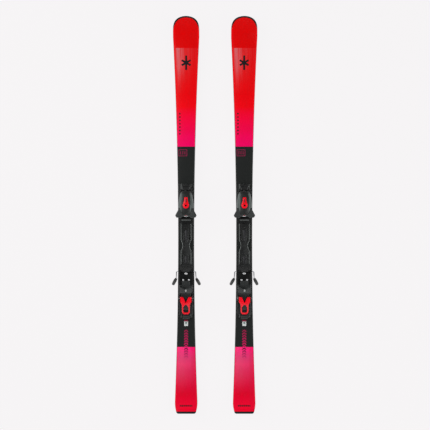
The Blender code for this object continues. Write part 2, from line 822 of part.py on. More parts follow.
def heel_carriage():
    """The heel's sliding base, with two upright ears that hold the axle."""
    made = carriage("heel_carriage", HEEL_REAR, HEEL_FRONT)
    profile = rounded(
        [
            (AXLE.y + 14 * MM, PLATE_TOP - 1 * MM),
            (AXLE.y + 10 * MM, AXLE.z + 7 * MM, 6 * MM),
            (AXLE.y - 9 * MM, AXLE.z + 7 * MM, 6 * MM),
            (AXLE.y - 20 * MM, PLATE_TOP - 1 * MM),
        ]
    )
    for side in (-1, 1):
        near, far = sorted((side * 25.2 * MM, side * 29 * MM))
        join(made, prism("ear", profile, near, far, "X"))
    bore = cylinder("bore", AXLE, AXLE_RADIUS + GAP, 80 * MM, "X", 14)
    cut(made, bore)
    lugs = lock_lugs(HEEL_LOCK_PIVOT, HEEL_LOCK_HALF, -434 * MM, HEEL_REAR + 2 * MM)
    return join(made, *lugs)


def heel_cup():
    """The heel's body, with the cup and the treadle in front. It is drawn shut, then turned open."""
    body = prism(
        "heel_cup",
        [
            (-312 * MM, TOP + 22 * MM),
            (-330 * MM, TOP + 19 * MM),
            (-350 * MM, TOP + 21 * MM),
            (-399 * MM, TOP + 41 * MM),
            (-401 * MM, TOP + 56 * MM),
            (-396 * MM, TOP + 60 * MM),
            (-352 * MM, TOP + 60 * MM),
            (-332 * MM, TOP + 57 * MM),
            (-312 * MM, TOP + 52 * MM),
        ],
        -19.8 * MM,
        19.8 * MM,
        "X",
    )
    chamfer(body, 2.5 * MM, 60)
    cup_outline = rounded(
        [
            (-27.5 * MM, -296 * MM, 2 * MM),
            (-27.5 * MM, -314 * MM, 6 * MM),
            (-22 * MM, -323 * MM, 4 * MM),
            (22 * MM, -323 * MM, 4 * MM),
            (27.5 * MM, -314 * MM, 6 * MM),
            (27.5 * MM, -296 * MM, 2 * MM),
        ]
    )
    cup = prism("cup", cup_outline, TOP + 18 * MM, TOP + 57 * MM)
    chamfer(cup, 1.5 * MM, 60)
    inner = cylinder("inner", (0, BOOT_HEEL_CENTRE_Y, TOP + 30 * MM), 33.5 * MM, 42.4 * MM, "Z", 48)
    lip = cylinder("lip", (0, BOOT_HEEL_CENTRE_Y, TOP + 56 * MM), 27 * MM, 20 * MM, "Z", 40)
    cut(cup, inner, lip)
    treadle_outline = rounded(
        [
            (-19 * MM, -318 * MM),
            (19 * MM, -318 * MM),
            (17 * MM, -281 * MM, 6 * MM),
            (-17 * MM, -281 * MM, 6 * MM),
        ]
    )
    treadle = prism("treadle", treadle_outline, TOP + 14.5 * MM, BOOT_Z - 1 * MM)
    join(body, cup, treadle)
    bore = cylinder("bore", (0, -381 * MM, HEEL_SCREW_Z), 8.6 * MM, 46 * MM, "Y", 16)
    axle_bore = cylinder("axle_bore", AXLE, AXLE_RADIUS + GAP, 80 * MM, "X", 14)
    cut(body, bore, axle_bore)
    return turned(body, AXLE, HEEL_OPEN)


def heel_screw():
    cap = cylinder("heel_din_screw", (0, -398 * MM, HEEL_SCREW_Z), 8.2 * MM, 8 * MM, "Y", 16)
    shank = cylinder("shank", (0, -381 * MM, HEEL_SCREW_Z), 3 * MM, 34 * MM, "Y", 12)
    join(cap, shank)
    slot = box(
        "slot",
        (-6 * MM, -410 * MM, HEEL_SCREW_Z - 0.9 * MM),
        (6 * MM, -400.4 * MM, HEEL_SCREW_Z + 0.9 * MM),
    )
    return turned(cut(cap, slot), AXLE, HEEL_OPEN)


def heel_spring():
    spring = coil("heel_spring", -392 * MM, -361 * MM, HEEL_SCREW_Z, 5.8 * MM, 1.3 * MM, 5)
    return turned(spring, AXLE, HEEL_OPEN)


def heel_lever():
    """The opening lever: two prongs from the axle, a cross bar, and a loop for the pole's tip."""
    left = [
        (-11 * MM, 17 * MM, 2 * MM),
        (-24.2 * MM, 17 * MM, 2 * MM),
        (-22.5 * MM, 0, 10 * MM),
        (-16.6 * MM, -17 * MM, 10 * MM),
        (-16.6 * MM, -50 * MM, 8 * MM),
        (-10 * MM, -60.2 * MM, 5 * MM),
    ]
    right = [(-x, y, radius) for x, y, radius in reversed(left)]
    corners = [(0, -8 * MM), *left, *right]
    outline = [(x, y + AXLE.y) for x, y in rounded(corners, 2)]
    hole = rounded(
        [
            (-3.5 * MM, AXLE.y - 15 * MM, 2 * MM),
            (3.5 * MM, AXLE.y - 15 * MM, 2 * MM),
            (11 * MM, AXLE.y - 27 * MM, 4 * MM),
            (11.2 * MM, AXLE.y - 53.5 * MM, 6 * MM),
            (-11.2 * MM, AXLE.y - 53.5 * MM, 6 * MM),
            (-11 * MM, AXLE.y - 27 * MM, 4 * MM),
        ],
        2,
    )
    low, high = AXLE.z + 10 * MM, AXLE.z + 60 * MM
    lever = prism("heel_lever", outline, low, high, "Z", [hole])
    path = (
        (24 * MM, 23 * MM),
        (11 * MM, 28 * MM),
        (-6 * MM, 29.5 * MM),
        (-26 * MM, 30 * MM),
        (-50 * MM, 28 * MM),
        (-72 * MM, 24 * MM),
    )
    band = [(AXLE.y + y, AXLE.z + z) for y, z in path]
    band += [(AXLE.y + y, AXLE.z + z + 5.5 * MM) for y, z in reversed(path)]
    boolean(lever, prism("band", band, -30 * MM, 30 * MM, "X"), "INTERSECT")
    chamfer(lever, 1 * MM, 50)
    profile = rounded(
        [
            (AXLE.y + 6 * MM, AXLE.z - 6 * MM, 5 * MM),
            (AXLE.y + 15 * MM, AXLE.z + 25 * MM, 2 * MM),
            (AXLE.y - 8 * MM, AXLE.z + 31 * MM, 2 * MM),
            (AXLE.y - 6 * MM, AXLE.z - 6 * MM, 5 * MM),
        ]
    )
    for side in (-1, 1):
        near, far = sorted((side * 20.6 * MM, side * 23.8 * MM))
        join(lever, prism("cheek", profile, near, far, "X"))
    bore = cylinder("bore", AXLE, AXLE_RADIUS + GAP, 80 * MM, "X", 14)
    cut(lever, bore)
    return turned(lever, AXLE, HEEL_OPEN)


def heel_pieces():
    return {
        heel_carriage(): "binding_grey",
        lock_lever("heel_lock_lever", HEEL_LOCK_PIVOT, 13 * MM, HEEL_LOCK_HALF, -1): "binding_black",
        heel_cup(): "binding_black",
        heel_lever(): "binding_red",
        cylinder("heel_axle", AXLE, AXLE_RADIUS, 60 * MM, "X", 14): "bright_steel",
        heel_spring(): "bright_steel",
        heel_screw(): "bright_steel",
    }


# ------------------------------------------------------------------ the brake


def swung(along, x=0.0):
    """A point on the brake arm with the arm down. along is the way from its axis, positive behind it."""
    return BRAKE_AXIS + Vector((x, -along * math.cos(BRAKE_DOWN), -along * math.sin(BRAKE_DOWN)))


def foot_x(along):
    """How far out the arm is, so that its foot clears the ski's edge."""
    share = (along - FOOT_START) / (ARM_LENGTH - FOOT_START)
    return ARM_X + 2 * MM + FOOT_FLARE * share


def brake_wire():
    """One bent wire: foot, arm, axis, crank, the bar in the pedal, and back on the other side."""
    wire_end = FOOT_START + 0.6 * (ARM_LENGTH - FOOT_START)
    right = [
        (swung(wire_end, foot_x(wire_end)), 0),
        (swung(FOOT_START - 1 * MM, foot_x(FOOT_START - 1 * MM)), 5 * MM),
        (swung(0, ARM_X), 6 * MM),
        (swung(0, CRANK_X), 4.2 * MM),
        (swung(-CRANK, CRANK_X), 4.2 * MM),
    ]
    left = [(Vector((-p.x, p.y, p.z)), r) for p, r in reversed(right)]
    return wire("brake_wire", fillet_path(right + left), WIRE_RADIUS)


def brake_foot(name, side):
    """The plastic paddle on an arm's end, with a blind bore for the wire."""
    near, far = FOOT_START, ARM_LENGTH
    length = math.hypot(FOOT_FLARE, far - near)
    outline = rounded(
        [
            (0, -4.6 * MM, 2 * MM),
            (0.35 * length, -6.2 * MM, 8 * MM),
            (length, -5 * MM, 4 * MM),
            (length - 3 * MM, 6.2 * MM, 4 * MM),
            (0.35 * length, 6.8 * MM, 8 * MM),
            (0, 4.6 * MM, 2 * MM),
        ]
    )
    foot = chamfer(prism(name, outline, -4.2 * MM, 4.2 * MM), 1.2 * MM, 60)
    bore = cylinder("bore", (0, 0, 0), WIRE_RADIUS + GAP, 0.66 * length, "X", 12)
    bore.data.transform(Matrix.Translation((0.3 * length, 0, 0)))
    cut(foot, bore)
    heading = -math.atan2(far - near, FOOT_FLARE)
    start = Vector((ARM_X + 2 * MM, BRAKE_AXIS.y - near, BRAKE_AXIS.z))
    foot.data.transform(Matrix.Translation(start) @ Matrix.Rotation(heading, 4, "Z"))
    turned(foot, BRAKE_AXIS, BRAKE_DOWN)
    if side < 0:
        foot.data.transform(Matrix.Diagonal((-1, 1, 1, 1)))
        foot.data.flip_normals()
    return foot


def brake_base():
    """The brake's base on the track, with a lug on each side around the wire."""
    made = carriage("brake_base", -298 * MM, -233 * MM, TOP + 11.5 * MM)
    for side in (-1, 1):
        near, far = sorted((side * 23.5 * MM, side * 32 * MM))
        lug = box(
            "lug",
            (near, BRAKE_AXIS.y - 7 * MM, FLANGE_TOP + 1 * MM),
            (far, BRAKE_AXIS.y + 7 * MM, BRAKE_AXIS.z + 4.6 * MM),
        )
        join(made, chamfer(lug, 1.5 * MM))
    relief = box("relief", (-23 * MM, -245 * MM, TOP + 9.9 * MM), (23 * MM, -220 * MM, TOP + 20 * MM))
    cut(made, relief)
    return cut(made, cylinder("bore", BRAKE_AXIS, WIRE_RADIUS + GAP, 90 * MM, "X", 14))


def brake_pedal():
    """The pedal under the boot's heel, on the wire's bar."""
    bar = swung(-CRANK)
    outline = rounded(
        [
            (-27 * MM, bar.y - 3 * MM, 3 * MM),
            (-16.5 * MM, bar.y - 4 * MM, 1 * MM),
            (-16.5 * MM, bar.y - 16 * MM, 4 * MM),
            (16.5 * MM, bar.y - 16 * MM, 4 * MM),
            (16.5 * MM, bar.y - 4 * MM, 1 * MM),
            (27 * MM, bar.y - 3 * MM, 3 * MM),
            (26 * MM, bar.y + 21 * MM, 6 * MM),
            (-26 * MM, bar.y + 21 * MM, 6 * MM),
        ]
    )
    plate = prism("brake_pedal", outline, bar.z + 2.9 * MM, bar.z + 6 * MM)
    chamfer(plate, 0.8 * MM, 60)
    boss = prism(
        "boss",
        rounded(
            [
                (bar.y + 5 * MM, bar.z + 4 * MM),
                (bar.y - 5 * MM, bar.z + 4 * MM),
                (bar.y - 5 * MM, bar.z - 4.4 * MM, 3 * MM),
                (bar.y + 5 * MM, bar.z - 4.4 * MM, 3 * MM),
            ]
        ),
        -12 * MM,
        12 * MM,
        "X",
    )
    join(plate, boss)
    cut(plate, cylinder("bore", bar, WIRE_RADIUS + GAP, 60 * MM, "X", 14))
    return turned(plate, bar, PEDAL_TILT)


def brake_pieces():
    return {
        brake_base(): "binding_grey",
        brake_pedal(): "binding_black",
        brake_wire(): "bright_steel",
        brake_foot("brake_foot_left", -1): "foot_black",
        brake_foot("brake_foot_right", 1): "foot_black",
    }


# ------------------------------------------------------------------ the assembly


def opened(point):
    """Where a point of the shut heel is with the heel open."""
    return AXLE + Matrix.Rotation(HEEL_OPEN, 3, "X") @ (point - AXLE)


def joint_axes():
    """The point on each moving piece's joint axis, which becomes its origin."""
    return {
        "toe_wing_left": Vector((-WING_PIVOT.x, WING_PIVOT.y, WING_LOW)),
        "toe_wing_right": Vector((WING_PIVOT.x, WING_PIVOT.y, WING_LOW)),
        "toe_lock_lever": TOE_LOCK_PIVOT,
        "toe_din_screw": Vector((0, 100 * MM, SCREW_Z)),
        "toe_tension_nut": Vector((0, 69.5 * MM, SCREW_Z)),
        "heel_lock_lever": HEEL_LOCK_PIVOT,
        "heel_cup": AXLE,
        "heel_lever": AXLE,
        "heel_spring": AXLE,
        "heel_din_screw": opened(Vector((0, -398 * MM, HEEL_SCREW_Z))),
        "brake_wire": BRAKE_AXIS,
        "brake_foot_left": BRAKE_AXIS,
        "brake_foot_right": BRAKE_AXIS,
        "brake_pedal": swung(-CRANK),
    }


def set_origin(made, point):
    """Moves an object's origin to a point on its joint axis."""
    made.data.transform(Matrix.Translation(-point))
    made.location = point


def shade(made):
    if made.type == "MESH":
        made.data.shade_smooth()
        made.data.set_sharp_from_angle(angle=math.radians(35))


def lowest(pieces):
    bpy.context.view_layer.update()
    graph = bpy.context.evaluated_depsgraph_get()
    found = []
    for made in pieces:
        evaluated = made.evaluated_get(graph)
        mesh = evaluated.to_mesh()
        found.append(min((evaluated.matrix_world @ v.co).z for v in mesh.vertices))
        evaluated.to_mesh_clear()
    return min(found)


def main():
    for old in list(bpy.data.objects):
        bpy.data.objects.remove(old)
    materials = make_materials()
    pieces = {**ski_pieces(), **tracks(), **toe_pieces(), **heel_pieces(), **brake_pieces()}
    axes = joint_axes()
    for made, slot in pieces.items():
        made.data.materials.clear()
        made.data.materials.append(materials[slot])
        shade(made)
        if made.name in axes:
            set_origin(made, axes[made.name])
    collection = bpy.data.collections.new("alpine_skis")
    bpy.context.scene.collection.children.link(collection)
    lift = -lowest(pieces)
    for side, x in (("left", -SPACING / 2), ("right", SPACING / 2)):
        ski = bpy.data.objects.new(side + "_ski", None)
        collection.objects.link(ski)
        ski.location = (x, 0, lift)
        for made in pieces:
            copy = made.copy()
            copy.name = side + "_" + made.name
            collection.objects.link(copy)
            copy.parent = ski
    for made in pieces:
        bpy.data.objects.remove(made)


main()
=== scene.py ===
"""The looks of a pair of alpine skis with bindings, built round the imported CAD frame.

Lengths are in metres. A ski's own frame has its origin mid length on the running base under the boot, with
+Y to the tip. Both skis are the same, at X = -SPACING / 2 and +SPACING / 2.
"""

import json
import math

import bmesh
import bpy
from mathutils import Matrix, Vector

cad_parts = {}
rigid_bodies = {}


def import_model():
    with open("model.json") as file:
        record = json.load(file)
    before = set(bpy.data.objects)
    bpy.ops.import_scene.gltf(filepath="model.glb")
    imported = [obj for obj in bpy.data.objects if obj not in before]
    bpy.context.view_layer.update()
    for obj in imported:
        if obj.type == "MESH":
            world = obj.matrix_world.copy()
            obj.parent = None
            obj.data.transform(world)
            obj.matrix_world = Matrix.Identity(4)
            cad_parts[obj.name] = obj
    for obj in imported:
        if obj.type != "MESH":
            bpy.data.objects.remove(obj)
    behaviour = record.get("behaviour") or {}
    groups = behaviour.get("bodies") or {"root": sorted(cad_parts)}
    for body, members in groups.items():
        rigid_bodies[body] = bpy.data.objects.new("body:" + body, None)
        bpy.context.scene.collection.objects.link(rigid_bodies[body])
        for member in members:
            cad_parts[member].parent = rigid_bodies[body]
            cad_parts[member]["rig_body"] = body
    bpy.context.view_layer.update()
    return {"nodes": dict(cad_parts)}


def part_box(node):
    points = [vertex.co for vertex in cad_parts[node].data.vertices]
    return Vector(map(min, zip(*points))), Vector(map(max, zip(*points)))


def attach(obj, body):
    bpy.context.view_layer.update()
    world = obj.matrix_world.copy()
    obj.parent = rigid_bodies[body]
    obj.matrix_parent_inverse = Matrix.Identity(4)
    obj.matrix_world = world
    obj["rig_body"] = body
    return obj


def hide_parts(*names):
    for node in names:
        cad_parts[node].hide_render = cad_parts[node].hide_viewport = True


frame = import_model()

MM = 0.001
SIDES = ("left", "right")

# The ski's shape, as in the CAD model
TIP_Y = 850 * MM
TAIL_Y = -850 * MM
WAIST_Y = -107 * MM
WAIST_WIDTH = 69 * MM
SIDECUT_RADIUS = 17.4
SHOVEL_LENGTH = 85 * MM
SHOVEL_Y = TIP_Y - SHOVEL_LENGTH
SHOVEL_HALF = WAIST_WIDTH / 2 + (SHOVEL_Y - WAIST_Y) ** 2 / (2 * SIDECUT_RADIUS)
TIP_POWER = 4.6
TIP_END_WIDTH = 0.4 * MM
TAIL_LENGTH = 46 * MM
TAIL_TAPER = 0.17
TAIL_CORNER = 5 * MM
SKIN_TAIL_Y = TAIL_Y + 6.3 * MM  # in front of the tail guard
TIP_CONTACT_Y = 712 * MM
TAIL_CONTACT_Y = -800 * MM
TIP_RISE = 45 * MM
TAIL_RISE = 8 * MM
CAMBER = 3 * MM
LEVEL_FRONT_Y = 150 * MM
LEVEL_REAR_Y = -455 * MM
THICK_MID = 15 * MM
THICK_TIP = 4.8 * MM
THICK_TAIL = 5.5 * MM
THIN_TIP_Y = 780 * MM
THIN_TAIL_Y = -820 * MM
BASE_THICK = 1.5 * MM
EDGE = 2 * MM
GAP = 0.3 * MM
SHEET_THICK = 1.2 * MM
SHEET_TIP_INSET = 5.5 * MM
SIDEWALL_LEAN = 2 * MM
SIDEWALL_WIDTH = 5.2 * MM
SIDEWALL_TIP_WIDTH = 8 * MM
EDGE_CHAMFER = 0.25 * MM
SHEET_ROUNDING = 0.5 * MM

# Heights above the base under the boot, where small pieces sit
GROOVE_FLOOR = 21.52 * MM
POCKET_FLOOR = 19.52 * MM
BRAKE_PLATE_TOP = 26.52 * MM
TOE_PAD_TOP = 35.22 * MM
PLATE_PAD_TOP = 35.52 * MM
LATCH_TOP = 30.52 * MM

# Sloping faces that carry small pieces: a place along the ski, the height there and the rise per length
INSERT_TOP = (60 * MM, 66.9 * MM, -0.0583)
PEDAL_TOP = (-212 * MM, 57.4 * MM, 0.3635)
CUP_TOP = (-318 * MM, 86.2 * MM, 0.364)

# The tracks' top edge: straight, and curved in where the two tracks meet
TRACK_JOIN_Y = -129 * MM
RAIL_HALF = 22 * MM
NECK_HALF = 15.5 * MM
NECK_RADIUS = 40 * MM
RAIL_RIM_LOW = 22.6 * MM

# The sticker behind the binding
LABEL_Y = -460.4 * MM
LABEL_HALF_X = 8.2 * MM
LABEL_HALF_Y = 13.2 * MM

# The print on the topsheet: its black middle's ends, the colour ramps' ends, the painted reflection's
# strength and the black rims
BLACK_FRONT_Y = 294.6 * MM
BLACK_REAR_Y = -563.6 * MM
FRONT_RAMP_Y = 294 * MM
REAR_RAMP_Y = -563 * MM
PAINTED_REFLECTION_STRENGTH = 0.64
RIM_START_Y = 796 * MM
TAIL_STRIP = 9.2 * MM

# How far the edges of the pieces are rounded, and how sharp an edge must be for it, in degrees
ROUND_WIDTH = 0.35 * MM
ROUND_SEGMENTS = 2
ROUND_ANGLE = 32
SHARP_ANGLE = 35

# The set
FLOOR_RADIUS = 14.0
FLOOR_DROP = 0.2 * MM
FLOOR_GLOW = 0.97
WORLD_STRENGTH = 0.25
CAMERA_LENS = 120.0
CAMERA_PLACE = (-0.8 * MM, 1.7 * MM, 6.197)
LIGHTS = (
    ("key_left", (-2.6, 1.0, 2.6), (2.2, 3.6), 108),
    ("fill_right", (2.8, -0.6, 2.4), (2.0, 3.6), 65),
    ("front", (0.0, -3.2, 2.2), (3.0, 1.4), 36),
)


def srgb(red, green, blue):
    """A colour given as 0 to 255, as the linear values that a shader takes."""

    def linear(value):
        value /= 255
        return value / 12.92 if value <= 0.04045 else ((value + 0.055) / 1.055) ** 2.4

    return (linear(red), linear(green), linear(blue), 1.0)


PALE = srgb(246, 244, 245)  # the floor, and what shows past it

# ------------------------------------------------------------------ shader building


class Shader:
    """A new material with a Principled shader, and short calls for the nodes that feed it."""

    def __init__(self, name):
        self.material = bpy.data.materials.new(name)
        self.material.use_nodes = True
        self.tree = self.material.node_tree
        self.surface = self.tree.nodes["Principled BSDF"]
        self.place = self.node("ShaderNodeTexCoord").outputs["Object"]
        self.x, self.y, self.z = self.node("ShaderNodeSeparateXYZ", Vector=self.place).outputs

    def node(self, kind, settings=None, **inputs):
        made = self.tree.nodes.new(kind)
        for key, value in (settings or {}).items():
            setattr(made, key, value)
        for key, value in inputs.items():
            self.feed(made.inputs[key.replace("_", " ")], value)
        return made

    def feed(self, socket, value):
        if isinstance(value, bpy.types.NodeSocket):
            self.tree.links.new(value, socket)
        else:
            socket.default_value = value

    def math(self, operation, *values, clamp=False):
        made = self.node("ShaderNodeMath", {"operation": operation, "use_clamp": clamp})
        for socket, value in zip(made.inputs, values):
            self.feed(socket, value)
        return made.outputs[0]

    def mix(self, share, first, second):
        """first where share is 0, second where it is 1."""
        made = self.node("ShaderNodeMix", {"data_type": "RGBA"})
        for index, value in ((0, share), (6, first), (7, second)):
            self.feed(made.inputs[index], value)
        return made.outputs[2]

    def ramp(self, value, stops, low=0.0, high=1.0):
        """A number or colour looked up along value, from low to high. stops are (value, colour)."""
        share = self.remap(value, low, high, 0.0, 1.0)
        made = self.node("ShaderNodeValToRGB", Fac=share)
        marks = made.color_ramp.elements
        while len(marks) < len(stops):
            marks.new(0.5)
        for mark, (at, colour) in zip(marks, stops):
            mark.position = (at - low) / (high - low)
            mark.color = colour if isinstance(colour, tuple) else (colour, colour, colour, 1.0)
        return made.outputs[0]

    def remap(self, value, low, high, to_low, to_high, smooth=False):
        kind = "SMOOTHSTEP" if smooth else "LINEAR"
        made = self.node("ShaderNodeMapRange", {"interpolation_type": kind}, Value=value)
        for index, number in enumerate((low, high, to_low, to_high), start=1):
            self.feed(made.inputs[index], number)
        return made.outputs[0]

    def stretched(self, x=1.0, y=1.0, z=1.0):
        """The place with each axis stretched, for grain that runs one way."""
        return self.node("ShaderNodeMapping", Vector=self.place, Scale=(x, y, z)).outputs[0]

    def noise(self, scale, detail=3.0, roughness=0.5, place=None):
        made = self.node(
            "ShaderNodeTexNoise",
            Vector=place or self.place,
            Scale=scale,
            Detail=detail,
            Roughness=roughness,
        )
        return made.outputs["Fac"]

    def bump(self, height, strength, distance):
        made = self.node("ShaderNodeBump", Height=height, Strength=strength, Distance=distance)
        return made.outputs[0]

    def lit_and_worn_edges(self):
        """1 on the rounded convex edges that bevelled() marks, 0 elsewhere: the edges that get wear and
        painted highlights.
        """
        return self.node("ShaderNodeAttribute", {"attribute_name": "lit_and_worn"}).outputs["Fac"]

    def set(self, **values):
        for key, value in values.items():
            self.feed(self.surface.inputs[key.replace("_", " ")], value)
        return self.material

    # masks for print: 1 inside a shape, 0 outside, in the ski's own X and Y

    def inside(self, value, low, high):
        above = self.math("GREATER_THAN", value, low)
        return self.math("MULTIPLY", above, self.math("LESS_THAN", value, high))

    def patch(self, x_low, x_high, y_low, y_high):
        return self.math("MULTIPLY", self.inside(self.x, x_low, x_high), self.inside(self.y, y_low, y_high))

    def disc(self, x, y, radius):
        across = self.math("SUBTRACT", self.x, x)
        along = self.math("SUBTRACT", self.y, y)
        away = self.math("SQRT", self.math("ADD", self.squared(across), self.squared(along)))
        return self.math("LESS_THAN", away, radius)

    def bar(self, x, y, angle, half_length, half_width):
        """A straight bar through (x, y); angle is in degrees from +X."""
        turn = math.radians(angle)
        across = self.math("SUBTRACT", self.x, x)
        along = self.math("SUBTRACT", self.y, y)
        on = self.math(
            "ADD", self.math("MULTIPLY", across, math.cos(turn)), self.math("MULTIPLY", along, math.sin(turn))
        )
        off = self.math(
            "SUBTRACT",
            self.math("MULTIPLY", along, math.cos(turn)),
            self.math("MULTIPLY", across, math.sin(turn)),
        )
        return self.math(
            "MULTIPLY", self.inside(on, -half_length, half_length), self.inside(off, -half_width, half_width)
        )

    def any(self, *masks):
        total = masks[0]
        for mask in masks[1:]:
            total = self.math("MAXIMUM", total, mask)
        return total

    def squared(self, value):
        return self.math("MULTIPLY", value, value)


# ------------------------------------------------------------------ materials


def plastic(
    name,
    colour,
    roughness,
    grain,
    lit_and_worn=(0.07, 0.07, 0.072, 1.0),
    specular=0.3,
    wear_and_highlight=0.8,
    even=0.35,
    tints=(),
):
    """Moulded plastic: spark-eroded grain, faint flow marks, dark patches, and pale edges for wear and
    painted highlights, more or less even. tints are mask functions with the colours that they bring; some of
    them bring painted highlights and painted shade."""
    s = Shader(name)
    cloud = s.noise(38.0, 4.0)
    flow = s.noise(9.0, 3.0, 0.6, s.stretched(1.0, 0.22, 1.0))
    grain_height = s.noise(2600.0, 2.0, 0.6)
    for mask, other in tints:
        colour = s.mix(mask(s), colour, other)
    base = s.mix(s.remap(cloud, 0.3, 0.7, 0.16, 0.0), colour, (0.0, 0.0, 0.0, 1.0))
    base = s.mix(s.remap(flow, 0.5, 0.8, 0.0, 0.07), base, lit_and_worn)
    # pale edges: wear and painted highlights
    rubbed_and_lit = s.math("MULTIPLY", s.lit_and_worn_edges(), s.remap(s.noise(240.0, 3.0), 0.3, 0.65, wear_and_highlight * even, wear_and_highlight))
    base = s.mix(rubbed_and_lit, base, lit_and_worn)
    rough = s.math("ADD", s.remap(cloud, 0.3, 0.7, -0.05, 0.07), roughness)
    rough = s.math("ADD", rough, s.remap(grain_height, 0.3, 0.7, -0.03, 0.03), clamp=True)
    return s.set(
        Base_Color=base,
        Roughness=rough,
        Specular_IOR_Level=specular,
        Normal=s.bump(grain_height, grain, 0.0002),
    )


def housing_lobe_highlights(s):
    """Painted highlights on the toe housing's rounded shoulders, as grey side lobes: outside a line that
    curves along each side.
    """
    stops = [(33 * MM, 18 * MM), (52 * MM, 20 * MM), (74 * MM, 18.5 * MM), (95 * MM, 15 * MM)]
    line = s.ramp(s.y, stops, 30 * MM, 96 * MM)
    outside = s.math("SUBTRACT", s.math("ABSOLUTE", s.x), line)
    soft = s.remap(outside, 0.0, 0.7 * MM, 0.0, 1.0)
    ends = s.math(
        "MULTIPLY", s.remap(s.y, 4 * MM, 16 * MM, 0.0, 1.0), s.remap(s.y, 90 * MM, 98 * MM, 1.0, 0.0)
    )
    return s.math("MULTIPLY", soft, ends)


def track_floor_shade(s):
    """Painted shade in the tracks' pockets and on their feet, below the rail's top."""
    return s.remap(s.z, RAIL_RIM_LOW - 2.4 * MM, RAIL_RIM_LOW - 1.9 * MM, 0.85, 0.0)


def track_rim_highlights(s):
    """Painted highlights on the rims along the top of the tracks."""
    along = s.math("SUBTRACT", s.y, TRACK_JOIN_Y)
    reach = s.math("SQRT", s.math("MAXIMUM", s.math("SUBTRACT", NECK_RADIUS**2, s.squared(along)), 0.0))
    edge = s.math("MINIMUM", RAIL_HALF, s.math("SUBTRACT", NECK_RADIUS + NECK_HALF, reach))
    inwards = s.math("SUBTRACT", edge, s.math("ABSOLUTE", s.x))
    raised = s.math("GREATER_THAN", s.z, RAIL_RIM_LOW)
    rim = s.math("MULTIPLY", s.inside(inwards, -0.3 * MM, 1.5 * MM), raised)
    return s.math("MULTIPLY", rim, s.remap(s.noise(90.0, 3.0), 0.3, 0.65, 0.45, 0.8))


def cup_rear(s):
    """The heel cup's black rear, behind its grey front."""
    return s.remap(s.y, -330 * MM, -327 * MM, 1.0, 0.0, True)


def foot_rear(s):
    """The brake feet's paler trailing half."""
    return s.remap(s.y, -285 * MM, -281 * MM, 1.0, 0.0, True)


def wire_middle(s):
    """The coated middle of the brake wire, between the ski's sides."""
    return s.math("LESS_THAN", s.math("ABSOLUTE", s.x), 33 * MM)


def steel(
    name,
    colour,
    roughness,
    contrast,
    along=(1.0, 1.0, 1.0),
    tarnish=0.1,
    scale=900.0,
    coat=None,
    metal=1.0,
):
    """Ground, drawn or plated steel: a fine texture, as lines where along stretches it, and slight tarnish.
    contrast is how bright its dark part is, coat is a mask function of where black plastic covers it, and
    metal is below 1 for a dull plated finish."""
    s = Shader(name)
    lines = s.noise(scale, 3.0, 0.6, s.stretched(*along))
    cloud = s.noise(60.0, 3.0)
    dark = tuple(value * contrast for value in colour[:3]) + (1.0,)
    base = s.mix(s.remap(lines, 0.35, 0.65, 0.0, 1.0), dark, colour)
    base = s.mix(s.remap(cloud, 0.55, 0.8, 0.0, tarnish), base, srgb(96, 92, 88))
    rough = s.math("ADD", s.remap(lines, 0.3, 0.7, -0.06, 0.1), roughness, clamp=True)
    if coat:
        covered = coat(s)
        base = s.mix(covered, base, srgb(30, 30, 31))
        metal = s.math("MULTIPLY", s.math("SUBTRACT", 1.0, covered), metal)
        rough = s.math("ADD", rough, s.math("MULTIPLY", covered, 0.2), clamp=True)
    return s.set(Base_Color=base, Metallic=metal, Roughness=rough, Normal=s.bump(lines, 0.12, 0.0001))


def blackened_steel(name):
    """Blackened steel, bright on its edges with wear and painted highlights."""
    s = Shader(name)
    lines = s.noise(1600.0, 3.0, 0.6, s.stretched(1.0, 0.03, 1.0))
    base = s.mix(s.remap(lines, 0.35, 0.65, 0.0, 1.0), srgb(38, 38, 40), srgb(58, 58, 60))
    rubbed_and_lit = s.math("MULTIPLY", s.lit_and_worn_edges(), s.remap(s.noise(300.0), 0.35, 0.6, 0.4, 0.9))
    base = s.mix(rubbed_and_lit, base, srgb(172, 174, 176))
    rough = s.remap(lines, 0.3, 0.7, 0.3, 0.45)
    return s.set(Base_Color=base, Metallic=0.6, Roughness=rough, Normal=s.bump(lines, 0.1, 0.0001))


def red_plastic(name):
    """Gloss red moulding with a soft orange-peel surface."""
    s = Shader(name)
    cloud = s.noise(45.0, 3.0)
    base = s.mix(s.remap(cloud, 0.3, 0.7, 0.0, 1.0), srgb(222, 0, 20), srgb(238, 0, 34))
    # pale pink edges: scuffs and painted highlights on the gloss red
    scuffs_and_highlights = s.math("MULTIPLY", s.lit_and_worn_edges(), s.remap(s.noise(160.0), 0.4, 0.65, 0.1, 0.32))
    base = s.mix(scuffs_and_highlights, base, srgb(255, 84, 96))
    peel = s.noise(900.0, 2.0)
    rough = s.remap(cloud, 0.3, 0.7, 0.24, 0.36)
    return s.set(
        Base_Color=base, Roughness=rough, Specular_IOR_Level=0.22, Normal=s.bump(peel, 0.06, 0.0002)
    )


def smoked_window(name):
    """The dark red glass over the release setting, with a plain scale of ticks."""
    s = Shader(name)
    cloud = s.noise(120.0, 3.0)
    base = s.mix(cloud, srgb(84, 4, 10), srgb(112, 8, 16))
    step = s.math("MODULO", s.y, 3.2 * MM)
    ticks = s.math("MULTIPLY", s.math("LESS_THAN", step, 0.45 * MM), s.inside(s.x, -1.5 * MM, 0.3 * MM))
    base = s.mix(ticks, base, srgb(196, 150, 146))
    return s.set(
        Base_Color=base,
        Roughness=s.remap(cloud, 0.3, 0.7, 0.08, 0.16),
        Specular_IOR_Level=0.5,
        Normal=s.bump(cloud, 0.02, 0.0002),
    )


